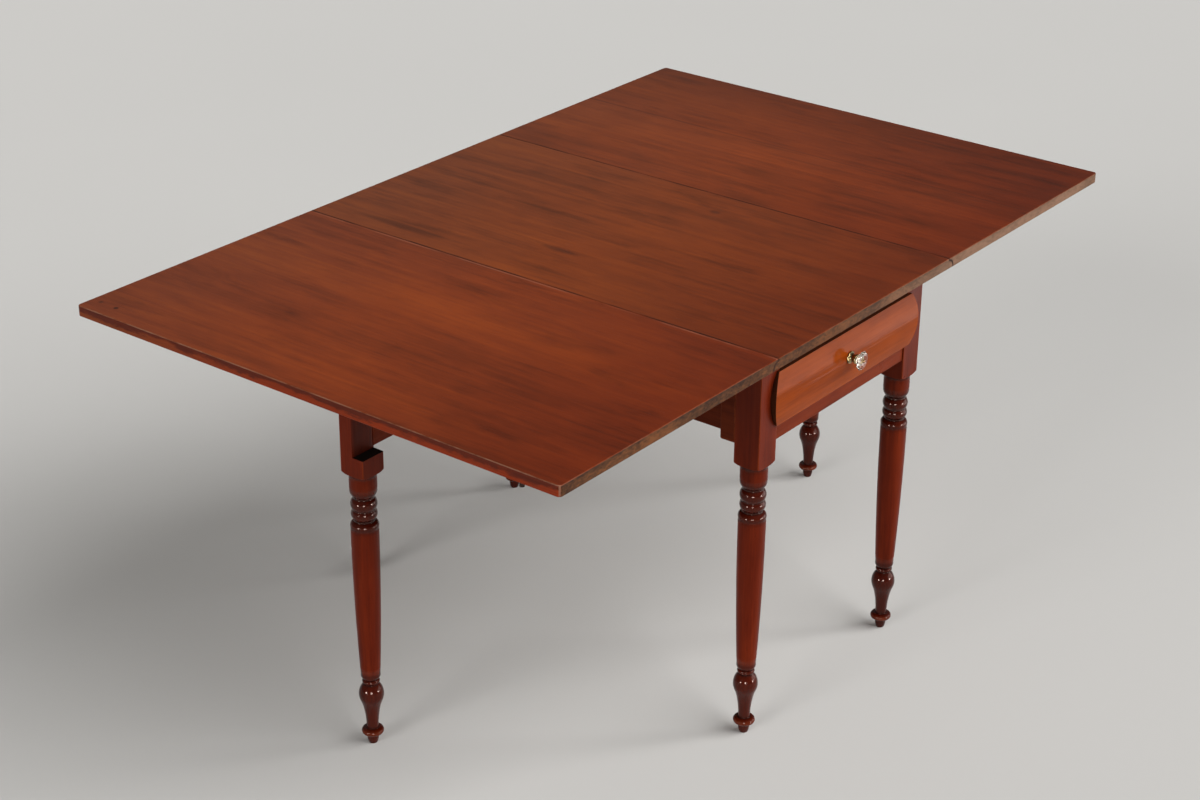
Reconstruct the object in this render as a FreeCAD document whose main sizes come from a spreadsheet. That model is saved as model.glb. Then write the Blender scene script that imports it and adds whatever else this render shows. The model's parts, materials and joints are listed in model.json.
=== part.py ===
# Drop-leaf table on six turned legs. Two legs swing out on wooden knuckle joints to carry the leaves,
# and a drawer with a swelled front runs in one end.
# Millimetres, +Z up, origin on the floor under the middle of the top, drawer end towards -Y.
import FreeCAD, Part
import Sketcher
import math
import os
from collections import namedtuple
from types import SimpleNamespace

# Driving sizes. Heights are above the floor.
SIZES = {
    # Boards of the top
    "table_height": 735,
    "top_thickness": 19,
    "top_length": 1004,
    "seam_spacing": 520,
    "leaf_width": 543,
    "corner_radius": 7,
    "upper_arris_radius": 2.2,
    "lower_arris_radius": 1.4,
    # Rule joint between the centre board and a leaf
    "rule_step": 3.5,
    "seam_gap": 0.8,
    "cove_gap": 0.4,
    # Frame
    "frame_width": 490,
    "end_overhang": 39.5,
    "leg_square": 49,
    "apron_height": 162,
    "side_rail_thickness": 21.5,
    "back_rail_thickness": 20,
    "back_rail_setback": 3,
    "front_rail_setback": 3,
    "lower_rail_height": 30,
    "lower_rail_depth": 40,
    "upper_rail_height": 34,
    "upper_rail_depth": 30,
    "tenon_length": 20,
    "tenon_thickness": 10,
    "tenon_shoulder": 6,
    "tenon_top_shoulder": 12,
    "mortise_gap": 0.15,
    # Turning of a leg, from the floor up to its shaft and from its head down
    "foot_diameter": 13,
    "peg_diameter": 20,
    "peg_height": 13,
    "ring_height": 24,
    "ring_thickness": 12,
    "ring_root_diameter": 26.6,
    "ring_swell": 5.6,
    "ankle_diameter": 20.4,
    "ankle_height": 37,
    "vase_height": 81,
    "vase_diameter": 33.4,
    "vase_hollow": 1.3,
    "vase_swell": 6.6,
    "vase_top": 118.5,
    "vase_neck_diameter": 24.4,
    "vase_neck_swell": 2.8,
    "vase_neck_top": 127,
    "shaft_bottom": 131,
    "shaft_bottom_diameter": 31.2,
    "shaft_top_diameter": 46.6,
    "shaft_swell": 1.5,
    "collar_height": 12,
    "collar_drop": 87,
    "collar_swell": 2.6,
    "groove_diameter": 35.4,
    "groove_width": 3,
    "lower_bead_height": 17,
    "lower_bead_swell": 3.3,
    "bead_neck_diameter": 38.6,
    "bead_gap": 1.6,
    "upper_bead_height": 20,
    "upper_bead_swell": 3.6,
    "neck_diameter": 45.8,
    "neck_length": 31,
    "neck_swell": 1.4,
    "head_drop": 38,
    "head_shoulder_height": 6,
    "head_shoulder_swell": 2.2,
    # Swing gates
    "fly_rail_thickness": 27,
    "stop_block_length": 27.5,
    "stop_block_rounding": 3,
    "pivot_offset": 46,
    "gate_gap": 0.5,
    "right_gate_ajar_degrees": 4.3,
    "head_notch_drop": 3.5,
    "leaf_seat_gap": 0.3,
    "finger_gap": 0.3,
    "gate_pin_radius": 4,
    "pin_gap": 0.08,
    # Drop-leaf hinges
    "hinge_from_end": 142,
    "hinge_length": 38,
    "hinge_plate_width": 32,
    "hinge_flap_width": 56,
    "hinge_plate_thickness": 2,
    "hinge_knuckle_radius": 2.5,
    "hinge_barrel_length": 12.6,
    "hinge_pin_radius": 1.25,
    "hinge_gap": 0.4,
    "hinge_flap_lift": 0.6,
    "screw_spread": 24,
    "screw_edge": 8,
    "screw_head_radius": 3.4,
    "screw_shank_radius": 1.6,
    "screw_length": 12,
    # Drawer
    "drawer_gap": 1.5,
    "drawer_seat_gap": 0.3,
    "front_thickness": 20,
    "front_face_gap": 0.5,
    "front_edge_proud": 4,
    "front_swell": 6.5,
    "front_overlap": 7,
    "front_end_swell": 15,
    "drawer_length": 470,
    "drawer_side_thickness": 14,
    "drawer_back_thickness": 12,
    "drawer_bottom_thickness": 6,
    "drawer_bottom_lift": 10,
    "drawer_groove": 6,
    "drawer_lap": 12,
    "tail_width": 23,
    "tail_narrowing": 3,
    "drawer_back_drop": 8,
    "runner_width": 30,
    "kicker_width": 20,
    # Knob
    "knob_rise": 2.8,
    "rose_diameter": 22,
    "rose_thickness": 3,
    "ferrule_diameter": 17,
    "ferrule_end_diameter": 13,
    "ferrule_length": 11.5,
    "glass_neck_diameter": 14,
    "glass_neck_length": 4,
    "glass_diameter": 33,
    "glass_thickness": 8,
    "glass_rim": 4,
    "flute_radius": 3.2,
    "flute_depth": 1.6,
    "bolt_radius": 2.5,
    "bolt_head_diameter": 7,
    "bolt_head_height": 1.8,
    "nut_square": 10,
    "nut_thickness": 4,
    "bolt_gap": 0.1,
    # Small pieces
    "glue_block": 22,
    "glue_block_length": 40,
    "glue_block_clearance": 28,
    "leaf_peg_diameter": 8,
    "leaf_peg_length": 8,
    "leaf_peg_inset": 7,
    "leaf_peg_from_end": 74,
}
KNUCKLE_FINGERS = 5
GLASS_FLUTES = 12
DRAWER_TAILS = 3
# The turning at a leg's head over the square blank, wider than the blank's diagonal
HEAD_TO_BLANK = 1.5
QUARTER_TURN = 90
HALF_TURN = 180
MATCH = 0.01
LEFT, RIGHT = -1, 1
FRONT, BACK = -1, 1

doc = FreeCAD.newDocument("drop_leaf_table")
sheet = doc.addObject("Spreadsheet::Sheet", "sizes")
nodes = {}


class Length:
    """A number together with the formula over the sheet that gives it."""

    def __init__(self, number, formula):
        self.number = number
        self.formula = formula

    def __add__(self, other):
        other = length(other)
        return Length(self.number + other.number, f"({self.formula} + {other.formula})")

    def __sub__(self, other):
        other = length(other)
        return Length(self.number - other.number, f"({self.formula} - {other.formula})")

    def __mul__(self, other):
        other = length(other)
        return Length(self.number * other.number, f"({self.formula} * {other.formula})")

    def __truediv__(self, other):
        other = length(other)
        return Length(self.number / other.number, f"({self.formula} / {other.formula})")

    def __neg__(self):
        return Length(-self.number, f"(0 - {self.formula})")

    def __rmul__(self, other):
        return length(other) * self

    def __radd__(self, other):
        return length(other) + self

    def __rsub__(self, other):
        return length(other) - self


def length(value):
    """The value itself if it is a Length, or a plain number as one."""
    if isinstance(value, Length):
        return value
    return Length(float(value), f"({value})")


def root(value):
    return Length(math.sqrt(value.number), f"sqrt({value.formula})")


def smaller(first, second):
    return Length(min(first.number, second.number), f"min({first.formula}; {second.formula})")


def fill_sheet():
    """Write the driving sizes into the sheet and return each one as a Length by name."""
    for row, (alias, number) in enumerate(SIZES.items(), start=1):
        sheet.set(f"A{row}", alias)
        sheet.set(f"B{row}", str(number))
        sheet.setAlias(f"B{row}", alias)
    doc.recompute()
    lengths = {alias: Length(float(sheet.get(alias)), f"sizes.{alias}") for alias in SIZES}
    return SimpleNamespace(**lengths)


size = fill_sheet()

# Places that several pieces share
underside = size.table_height - size.top_thickness
top_half = size.top_length / 2
seam = size.seam_spacing / 2
leaf_edge = seam + size.leaf_width
frame_half_x = size.frame_width / 2
frame_half_y = top_half - size.end_overhang
apron_bottom = underside - size.apron_height
leg_half = size.leg_square / 2
leg_x = frame_half_x - leg_half
leg_y = frame_half_y - leg_half
leg_inner_x = frame_half_x - size.leg_square
leg_inner_y = frame_half_y - size.leg_square
fly_half = size.fly_rail_thickness / 2
side_rail_outer = frame_half_x - size.fly_rail_thickness - size.gate_gap
side_rail_inner = side_rail_outer - size.side_rail_thickness
carrier_outer = smaller(side_rail_inner, leg_inner_x)
pivot_x = frame_half_x - fly_half
gate_top = underside - size.leaf_seat_gap
gate_length = leg_inner_y - size.stop_block_length - size.gate_gap - leg_half + size.pivot_offset
knuckle_height = size.apron_height / KNUCKLE_FINGERS
hinge_axis = underside + size.hinge_knuckle_radius
rule_radius = size.table_height - size.rule_step - hinge_axis
runner_top = apron_bottom + size.lower_rail_height
kicker_bottom = underside - size.upper_rail_height
back_rail_inner = frame_half_y - size.back_rail_setback - size.back_rail_thickness
drawer_bottom_edge = runner_top + size.drawer_seat_gap
drawer_top_edge = kicker_bottom - size.drawer_gap
drawer_half = leg_inner_x - size.drawer_gap
front_back_face = -frame_half_y - size.front_face_gap
front_middle = (drawer_bottom_edge + drawer_top_edge) / 2
front_half_width = leg_inner_x + size.front_overlap
front_depth = size.front_edge_proud + size.front_swell + size.front_thickness


def bind(thing, **formulas):
    """Tie properties of a thing to lengths. A double underscore in a name stands for a dot."""
    for name, value in formulas.items():
        thing.setExpression(name.replace("__", "."), length(value).formula)


def place(thing, x=0, y=0, z=0, turn=None, axis=(0, 0, 1)):
    """Put a thing at x, y, z, turned by an angle about an axis through that place."""
    thing.Placement.Rotation = FreeCAD.Rotation(FreeCAD.Vector(*axis), length(turn or 0).number)
    bind(thing, Placement__Base__x=x, Placement__Base__y=y, Placement__Base__z=z)
    if turn is not None:
        bind(thing, Placement__Rotation__Angle=turn)
    return thing


def add_node(name, thing):
    """Name a finished piece."""
    thing.Label = name
    nodes[name] = thing
    return thing


def span(side, near, far):
    """The range from near to far along the positive axis, or its mirror image on the negative side."""
    if side > 0:
        return (length(near), length(far))
    return (-length(far), -length(near))


def block(name, x, y, z):
    """A rectangular solid between two planes across each axis."""
    solid = doc.addObject("Part::Box", name)
    bind(solid, Length=x[1] - x[0], Width=y[1] - y[0], Height=z[1] - z[0])
    return place(solid, x[0], y[0], z[0])


def rod(name, x, y, z, radius, reach, axis="z"):
    """A cylinder that starts at x, y, z and runs along an axis. The y axis is run backwards."""
    solid = doc.addObject("Part::Cylinder", name)
    bind(solid, Radius=radius, Height=reach)
    if axis == "y":
        return place(solid, x, y, z, turn=QUARTER_TURN, axis=(1, 0, 0))
    return place(solid, x, y, z)


def cone(name, x, y, z, lower_radius, upper_radius, reach):
    solid = doc.addObject("Part::Cone", name)
    bind(solid, Radius1=lower_radius, Radius2=upper_radius, Height=reach)
    return place(solid, x, y, z)


def fuse(name, shapes):
    joined = doc.addObject("Part::MultiFuse", name)
    joined.Shapes = shapes
    return joined


def cut(name, base, tools):
    """The base without the tools."""
    rest = doc.addObject("Part::Cut", name)
    rest.Base = base
    rest.Tool = tools[0] if len(tools) == 1 else fuse(name + "_waste", tools)
    return rest


def common(name, first, second):
    shared = doc.addObject("Part::Common", name)
    shared.Base = first
    shared.Tool = second
    return shared


def group(name, solids):
    """Separate solids that share one node."""
    whole = doc.addObject("Part::Compound", name)
    whole.Links = solids
    return whole


# A corner of an outline. The edge that leaves it towards the next corner is straight,
# swells outwards by a rise, or is hollow by a rise. Outlines run counter-clockwise.
Corner = namedtuple("Corner", "across up swell hollow", defaults=(None, None))


def arc_radius(start, end, rise):
    across = end.across - start.across
    up = end.up - start.up
    return (across * across + up * up) / (8 * rise) + rise / 2


def edge_geometry(start, end):
    """The line or arc from one corner to the next. A hollow arc is stored from its far end."""
    first = FreeCAD.Vector(start.across.number, start.up.number, 0)
    last = FreeCAD.Vector(end.across.number, end.up.number, 0)
    rise = start.swell or start.hollow
    if rise is None:
        return Part.LineSegment(first, last)
    along = (last - first).normalize()
    outwards = FreeCAD.Vector(along.y, -along.x, 0)
    if start.hollow:
        middle = (first + last) / 2 - outwards * rise.number
        return Part.Arc(last, middle, first)
    middle = (first + last) / 2 + outwards * rise.number
    return Part.Arc(first, middle, last)


def tie_coordinate(sketch, kind, geometry, end, value):
    """Hold one coordinate of an edge's end at a length from the sketch's origin."""
    if value.number == 0:
        sketch_axis = -2 if kind == "DistanceX" else -1
        sketch.addConstraint(Sketcher.Constraint("PointOnObject", geometry, end, sketch_axis))
        return
    row = sketch.addConstraint(Sketcher.Constraint(kind, -1, 1, geometry, end, value.number))
    sketch.setExpression(f"Constraints[{row}]", value.formula)


def draw_outline(sketch, corners):
    """Draw a closed outline and hold every corner and arc by the sheet."""
    corners = [corner._replace(across=length(corner.across), up=length(corner.up)) for corner in corners]
    following = corners[1:] + corners[:1]
    for start, end in zip(corners, following):
        sketch.addGeometry(edge_geometry(start, end))
    starts = [2 if corner.hollow else 1 for corner in corners]
    for edge, (start, end) in enumerate(zip(corners, following)):
        after = (edge + 1) % len(corners)
        edge_end = 3 - starts[edge]
        sketch.addConstraint(Sketcher.Constraint("Coincident", edge, edge_end, after, starts[after]))
        tie_coordinate(sketch, "DistanceX", edge, starts[edge], start.across)
        tie_coordinate(sketch, "DistanceY", edge, starts[edge], start.up)
        rise = start.swell or start.hollow
        if rise is not None:
            radius = arc_radius(start, end, rise)
            row = sketch.addConstraint(Sketcher.Constraint("Radius", edge, radius.number))
            sketch.setExpression(f"Constraints[{row}]", radius.formula)


def sketched_body(name, plane, corners):
    """A body with one closed sketch on one of its origin planes."""
    body = doc.addObject("PartDesign::Body", name)
    sketch = body.newObject("Sketcher::SketchObject", name + "_outline")
    support = [feature for feature in body.Origin.OriginFeatures if feature.Role == plane]
    sketch.AttachmentSupport = [(support[0], "")]
    sketch.MapMode = "FlatFace"
    draw_outline(sketch, corners)
    return body, sketch


def padded(name, plane, corners, reach):
    """A body padded the same distance to both sides of its sketch."""
    body, sketch = sketched_body(name, plane, corners)
    pad = body.newObject("PartDesign::Pad", name + "_pad")
    pad.Profile = sketch
    pad.SideType = "Symmetric"
    bind(pad, Length=reach)
    return body


def turned(name, corners):
    """A body turned about its own Z axis."""
    body, sketch = sketched_body(name, "XZ_Plane", corners)
    revolution = body.newObject("PartDesign::Revolution", name + "_turning")
    revolution.Profile = sketch
    revolution.ReferenceAxis = (sketch, ["V_Axis"])
    revolution.Angle = 360
    return body


def round_edges(body, name, radius, wanted):
    """Round the edges of a body whose middle point passes a test."""
    doc.recompute()
    tip = body.Tip
    found = [
        f"Edge{count}"
        for count, edge in enumerate(tip.Shape.Edges, start=1)
        if wanted(edge.valueAt((edge.FirstParameter + edge.LastParameter) / 2))
    ]
    fillet = body.newObject("PartDesign::Fillet", name)
    fillet.Base = (tip, found)
    bind(fillet, Radius=radius)


def near(number, target):
    return abs(number - target.number) < MATCH


# Top boards and their hinges


def hinge_rows():
    """The places of the hinges along a seam."""
    outer = top_half - size.hinge_from_end
    return (-outer, length(0), outer)


def rule_joint_step():
    """The upper end of the cove on a leaf, above the hinge axis."""
    cove = rule_radius + size.cove_gap
    return root(cove * cove - size.seam_gap * size.seam_gap)


def centre_board():
    """The fixed board, stepped and rounded along both seams."""
    rounded = seam + rule_radius
    step = size.table_height - size.rule_step
    rise = rule_radius * (1 - math.sqrt(0.5))
    corners = [
        Corner(-rounded, underside),
        Corner(rounded, underside),
        Corner(rounded, hinge_axis, swell=rise),
        Corner(seam, step),
        Corner(seam, size.table_height),
        Corner(-seam, size.table_height),
        Corner(-seam, step, swell=rise),
        Corner(-rounded, hinge_axis),
    ]
    body = padded("centre_board", "XZ_Plane", corners, size.top_length)

    def end_arris(height):
        return lambda middle: near(abs(middle.y), top_half) and near(middle.z, height)

    round_edges(body, "centre_upper_arris", size.upper_arris_radius, end_arris(size.table_height))
    round_edges(body, "centre_lower_arris", size.lower_arris_radius, end_arris(underside))
    return body


def leaf_board():
    """The board of the right leaf, hollowed along its seam and rounded at its corners and arrises."""
    cove = rule_radius + size.cove_gap
    upper = hinge_axis + rule_joint_step()
    inner = seam + size.seam_gap
    hollow_end = seam + cove
    across = hollow_end - inner
    up = upper - hinge_axis
    rise = cove - root(cove * cove - (across * across + up * up) / 4)
    corners = [
        Corner(hollow_end, underside),
        Corner(leaf_edge, underside),
        Corner(leaf_edge, size.table_height),
        Corner(inner, size.table_height),
        Corner(inner, upper, hollow=rise),
        Corner(hollow_end, hinge_axis),
    ]
    body = padded("leaf_board", "XZ_Plane", corners, size.top_length)

    def outer_corner(middle):
        return near(abs(middle.y), top_half) and near(middle.x, leaf_edge)

    corner_start = leaf_edge.number - size.corner_radius.number

    def rim(height):
        def on_rim(middle):
            outside = near(abs(middle.y), top_half) or middle.x > corner_start
            return outside and near(middle.z, height)

        return on_rim

    round_edges(body, "leaf_corners", size.corner_radius, outer_corner)
    round_edges(body, "leaf_upper_arris", size.upper_arris_radius, rim(size.table_height))
    round_edges(body, "leaf_lower_arris", size.lower_arris_radius, rim(underside))
    return body


def screw_places(near_edge, far_edge):
    """Two screws of a hinge plate, set in from its ends across the seam."""
    inset = size.screw_edge
    spread = size.screw_spread / 2
    return [(near_edge + inset, spread), (far_edge - inset, -spread)]


def plate_screws(row):
    places = screw_places(seam - size.hinge_plate_width, seam - size.hinge_knuckle_radius)
    return [(x, row + y) for x, y in places]


def flap_screws(row):
    places = screw_places(seam + rule_radius + size.cove_gap, seam + size.hinge_flap_width)
    return [(x, row + y) for x, y in places]


def countersunk(name, x, y, gap=0):
    """A screw head in the hinge metal and its shank above, or their hole with a gap around them."""
    head = cone(
        name + "_head",
        x,
        y,
        underside,
        size.screw_head_radius + gap,
        size.screw_shank_radius + gap,
        size.hinge_plate_thickness,
    )
    shank = rod(name + "_shank", x, y, underside, size.screw_shank_radius + gap, size.screw_length + gap)
    return fuse(name, [head, shank])


def screw_holes(name, places):
    """The countersunk holes in a hinge plate."""
    return [countersunk(f"{name}_hole_{i}", x, y, size.pin_gap) for i, (x, y) in enumerate(places)]


def pilot_holes(name, places):
    """The holes in a board for the screws of a hinge, one gap lower and higher than the screws."""
    radius = size.screw_shank_radius + size.pin_gap
    low = underside - size.hinge_gap
    depth = size.screw_length + 2 * size.hinge_gap
    return [rod(f"{name}_pilot_{i}", x, y, low, radius, depth) for i, (x, y) in enumerate(places)]


def hinge_barrel(name, row, low, high, radius):
    """A stretch of round metal or space on the hinge axis."""
    return rod(name, seam, row + high, hinge_axis, radius, high - low, axis="y")


def hinge_plate(name, row):
    """The short fixed plate with two barrels, one at each end of the hinge."""
    half = size.hinge_length / 2
    barrel = size.hinge_barrel_length / 2
    knuckle = size.hinge_knuckle_radius
    rows = (row - half, row + half)
    metal = (underside, underside + size.hinge_plate_thickness)
    flat = block(name + "_flat", (seam - size.hinge_plate_width, seam), rows, metal)
    barrels = [
        hinge_barrel(name + "_barrel_a", row, -half, -barrel, knuckle),
        hinge_barrel(name + "_barrel_b", row, barrel, half, knuckle),
    ]
    clear = knuckle + size.hinge_gap
    gap = block(
        name + "_gap",
        (seam - clear, seam + clear),
        (row - barrel, row + barrel),
        (underside - clear, hinge_axis + clear),
    )
    bore = hinge_barrel(name + "_bore", row, -half, half, size.hinge_pin_radius + size.pin_gap)
    holes = screw_holes(name, plate_screws(row))
    return cut(name, fuse(name + "_solid", [flat] + barrels), [gap, bore] + holes)


def hinge_flap(name, row):
    """The long moving plate with one barrel in the middle of the hinge."""
    half = size.hinge_length / 2
    barrel = size.hinge_barrel_length / 2 - size.hinge_gap / 2
    knuckle = size.hinge_knuckle_radius
    metal = (underside, underside + size.hinge_plate_thickness)
    flat = block(name + "_flat", (seam, seam + size.hinge_flap_width), (row - half, row + half), metal)
    middle = hinge_barrel(name + "_barrel", row, -barrel, barrel, knuckle)
    clear = knuckle + size.hinge_gap
    ends = [
        block(
            f"{name}_end_{side}",
            (seam - clear, seam + clear),
            tuple(row + place_y for place_y in span(side, barrel, half + size.hinge_gap)),
            (underside - clear, hinge_axis + clear),
        )
        for side in (LEFT, RIGHT)
    ]
    bore = hinge_barrel(name + "_bore", row, -barrel, barrel, size.hinge_pin_radius + size.pin_gap)
    holes = screw_holes(name, flap_screws(row))
    return cut(name, fuse(name + "_solid", [flat, middle]), ends + [bore] + holes)


def hinge_seat_in_centre(name, row):
    """The recess under the centre board for one hinge: plate, flap root, barrels and screw holes."""
    half = size.hinge_length / 2
    gap = size.hinge_gap
    knuckle = size.hinge_knuckle_radius + gap
    rows = (row - half - gap, row + half + gap)
    metal = underside + size.hinge_plate_thickness
    below = underside - gap
    plate = block(
        name + "_plate",
        (seam - size.hinge_plate_width, seam),
        (row - half, row + half),
        (below, metal),
    )
    flap = block(
        name + "_flap",
        (seam, seam + rule_radius + gap),
        rows,
        (below, metal + size.hinge_flap_lift),
    )
    barrel = hinge_barrel(name + "_groove", row, -half - gap, half + gap, knuckle)
    mouth = block(name + "_mouth", (seam - knuckle, seam + knuckle), rows, (below, hinge_axis))
    return [plate, flap, barrel, mouth] + pilot_holes(name, plate_screws(row))


def hinge_seat_in_leaf(name, row):
    """The recess under a leaf for one hinge flap, with its screw holes."""
    half = size.hinge_length / 2
    metal = underside + size.hinge_plate_thickness
    below = underside - size.hinge_gap
    reach = (seam, seam + size.hinge_flap_width)
    flap = block(name + "_flap", reach, (row - half, row + half), (below, metal))
    return [flap] + pilot_holes(name, flap_screws(row))


def half_turned(thing, side):
    """A right-hand piece, or the same piece half a turn about the table's middle for the left."""
    return place(thing, turn=0 if side == RIGHT else HALF_TURN)


def half_turned_copy(name, thing):
    """A copy of a right-hand piece on the left."""
    mirror = group(name, [thing])
    return half_turned(mirror, LEFT)


def build_top():
    board = centre_board()
    seats = []
    for i, row in enumerate(hinge_rows()):
        seats += hinge_seat_in_centre(f"seat_{i}", row)
    right_seats = fuse("right_seats", seats)
    left_seats = half_turned_copy("left_seats", right_seats)
    add_node("top_center", cut("top_center", board, [right_seats, left_seats]))


def build_leaf(side, word):
    board = leaf_board()
    seats = []
    for i, row in enumerate(hinge_rows()):
        seats += hinge_seat_in_leaf(f"leaf_seat_{i}", row)
    add_node(f"leaf_{word}", half_turned(cut(f"leaf_{word}", board, seats), side))


def screw_set(name, places):
    """The screws of one kind in all the hinges of a side."""
    every_place = [place_xy for row in hinge_rows() for place_xy in places(row)]
    return [countersunk(f"{name}_{i}", x, y) for i, (x, y) in enumerate(every_place)]


def build_hinges(side, word):
    """The plates, pins, flaps and screws of the three hinges on one side."""
    rows = list(enumerate(hinge_rows()))
    half = size.hinge_length / 2
    plates = [hinge_plate(f"plate_{word}_{i}", row) for i, row in rows]
    flaps = [hinge_flap(f"flap_{word}_{i}", row) for i, row in rows]
    pin = size.hinge_pin_radius
    pins = [hinge_barrel(f"hinge_pin_{word}_{i}", row, -half, half, pin) for i, row in rows]
    plate_screw_set = screw_set(f"plate_screw_{word}", plate_screws)
    flap_screw_set = screw_set(f"flap_screw_{word}", flap_screws)
    sets = {
        "hinge_plates": plates,
        "hinge_flaps": flaps,
        "hinge_pins": pins,
        "hinge_plate_screws": plate_screw_set,
        "hinge_flap_screws": flap_screw_set,
    }
    for kind, solids in sets.items():
        add_node(f"{kind}_{word}", half_turned(group(f"{kind}_{word}", solids), side))


# Turned legs


def leg_outline(top):
    """The turning of a leg from the floor to its top, wider than the blank at the head."""
    r = SimpleNamespace(
        foot=size.foot_diameter / 2,
        peg=size.peg_diameter / 2,
        ring=size.ring_root_diameter / 2,
        ankle=size.ankle_diameter / 2,
        vase=size.vase_diameter / 2,
        vase_neck=size.vase_neck_diameter / 2,
        shaft_low=size.shaft_bottom_diameter / 2,
        shaft_high=size.shaft_top_diameter / 2,
        groove=size.groove_diameter / 2,
        bead_neck=size.bead_neck_diameter / 2,
        neck=size.neck_diameter / 2,
        head=leg_half * HEAD_TO_BLANK,
    )
    ring_half = size.ring_thickness / 2
    head_bottom = apron_bottom - size.head_drop
    collar_top = head_bottom - size.collar_drop
    lower_bead = collar_top + size.groove_width
    bead_neck = lower_bead + size.lower_bead_height
    upper_bead = bead_neck + size.bead_gap
    upper_groove = upper_bead + size.upper_bead_height
    return [
        Corner(0, 0),
        Corner(r.foot, 0),
        Corner(r.peg, size.peg_height),
        Corner(r.peg, size.ring_height - ring_half),
        Corner(r.ring, size.ring_height - ring_half, swell=size.ring_swell),
        Corner(r.ring, size.ring_height + ring_half),
        Corner(r.ankle, size.ring_height + ring_half),
        Corner(r.ankle, size.ankle_height, hollow=size.vase_hollow),
        Corner(r.vase, size.vase_height, swell=size.vase_swell),
        Corner(r.vase_neck, size.vase_top, swell=size.vase_neck_swell),
        Corner(r.vase_neck, size.vase_neck_top),
        Corner(r.shaft_low, size.shaft_bottom, swell=size.shaft_swell),
        Corner(r.shaft_high, collar_top - size.collar_height, swell=size.collar_swell),
        Corner(r.groove, collar_top),
        Corner(r.groove, lower_bead, swell=size.lower_bead_swell),
        Corner(r.bead_neck, bead_neck),
        Corner(r.bead_neck, upper_bead, swell=size.upper_bead_swell),
        Corner(r.groove, upper_groove),
        Corner(r.groove, upper_groove + size.groove_width, swell=size.neck_swell),
        Corner(r.neck, head_bottom - size.neck_length),
        Corner(r.neck, head_bottom, swell=size.head_shoulder_swell),
        Corner(r.head, head_bottom + size.head_shoulder_height),
        Corner(r.head, top),
        Corner(0, top),
    ]


def leg_blank(name, x, y, top):
    """A square blank turned below its head, standing at x, y."""
    turning = place(turned(name + "_turning", leg_outline(top)), x, y)
    square_x = (x - leg_half, x + leg_half)
    square_y = (y - leg_half, y + leg_half)
    blank = block(name + "_blank", square_x, square_y, (length(0), top))
    return common(name + "_solid", turning, blank)


# Rails with tenons. A tenon's cheek is its range across the rail, its height leaves a shoulder.


def widened(limits, gap):
    return (limits[0] - gap, limits[1] + gap)


def centred(middle, thickness):
    return (middle - thickness / 2, middle + thickness / 2)


def side_rail_tenon(side_x, side_y, gap=0):
    """A tenon of a side rail in a leg, or its mortise with a gap round it."""
    middle = (side_rail_outer + side_rail_inner) / 2
    cheek = centred(middle, size.tenon_thickness)
    height = (apron_bottom + size.tenon_shoulder, underside - size.tenon_top_shoulder)
    return block(
        f"side_tenon_{side_x}_{side_y}_{'hole' if gap else 'solid'}",
        widened(span(side_x, *cheek), gap),
        widened(span(side_y, leg_inner_y, leg_inner_y + size.tenon_length), gap),
        widened(height, gap),
    )


def cross_rail_tenon(name, side_x, cheek, height, gap=0):
    """A tenon of a rail that runs across the table, or its mortise with a gap round it."""
    return block(
        f"{name}_tenon_{side_x}_{'hole' if gap else 'solid'}",
        widened(span(side_x, leg_inner_x, leg_inner_x + size.tenon_length), gap),
        widened(cheek, gap),
        widened(height, gap),
    )


def cross_rails():
    """The three rails across the table: depth, height, and the tenon's cheek and height of each."""
    shoulder = size.tenon_shoulder
    front_face = -frame_half_y + size.front_rail_setback
    back_face = frame_half_y - size.back_rail_setback
    front_cheek = (front_face + shoulder, front_face + shoulder + size.tenon_thickness)
    back_cheek = centred(back_face - size.back_rail_thickness / 2, size.tenon_thickness)
    lower = (apron_bottom, runner_top)
    upper = (kicker_bottom, underside)
    whole = (apron_bottom, underside)
    lower_depth = (front_face, front_face + size.lower_rail_depth)
    upper_depth = (front_face, front_face + size.upper_rail_depth)
    back_depth = (back_face - size.back_rail_thickness, back_face)
    return {
        "front_lower_rail": (lower_depth, lower, front_cheek, shrunk(lower)),
        "front_upper_rail": (upper_depth, upper, front_cheek, shrunk(upper)),
        "back_rail": (back_depth, whole, back_cheek, shrunk(whole)),
    }


def shrunk(height):
    """A tenon's height within its rail's."""
    return (height[0] + size.tenon_shoulder, height[1] - size.tenon_shoulder)


def build_cross_rails():
    for name, (depth, height, cheek, tenon_height) in cross_rails().items():
        bar = block(name + "_bar", (-leg_inner_x, leg_inner_x), depth, height)
        tenons = [cross_rail_tenon(name, side, cheek, tenon_height) for side in (LEFT, RIGHT)]
        add_node(name, fuse(name, [bar] + tenons))


def build_side_rail(side, word):
    bar = block(
        f"side_rail_{word}_bar",
        span(side, side_rail_inner, side_rail_outer),
        (-leg_inner_y, leg_inner_y),
        (apron_bottom, underside),
    )
    tenons = [side_rail_tenon(side, end) for end in (FRONT, BACK)]
    add_node(f"side_rail_{word}", fuse(f"side_rail_{word}", [bar] + tenons))


def build_fixed_leg(side, word, end, end_word):
    name = f"leg_{end_word}_{word}"
    blank = leg_blank(name, side * leg_x, end * leg_y, underside)
    mortises = [side_rail_tenon(side, end, size.mortise_gap)]
    for rail, (_depth, _height, cheek, tenon_height) in cross_rails().items():
        if (rail == "back_rail") == (end == BACK):
            hole = cross_rail_tenon(f"{name}_{rail}", side, cheek, tenon_height, size.mortise_gap)
            mortises.append(hole)
    add_node(name, cut(name, blank, mortises))


# Swing gates. Their pieces are drawn closed, with the pin's axis as the local Z axis,
# the gate along -Y and its outer face towards -X, and then turned to where they rest.


def gate_angle(side):
    """The turn of a gate from where it is drawn: the left one stands square out, the right one less."""
    if side == LEFT:
        return length(-QUARTER_TURN)
    return size.right_gate_ajar_degrees + QUARTER_TURN


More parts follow.
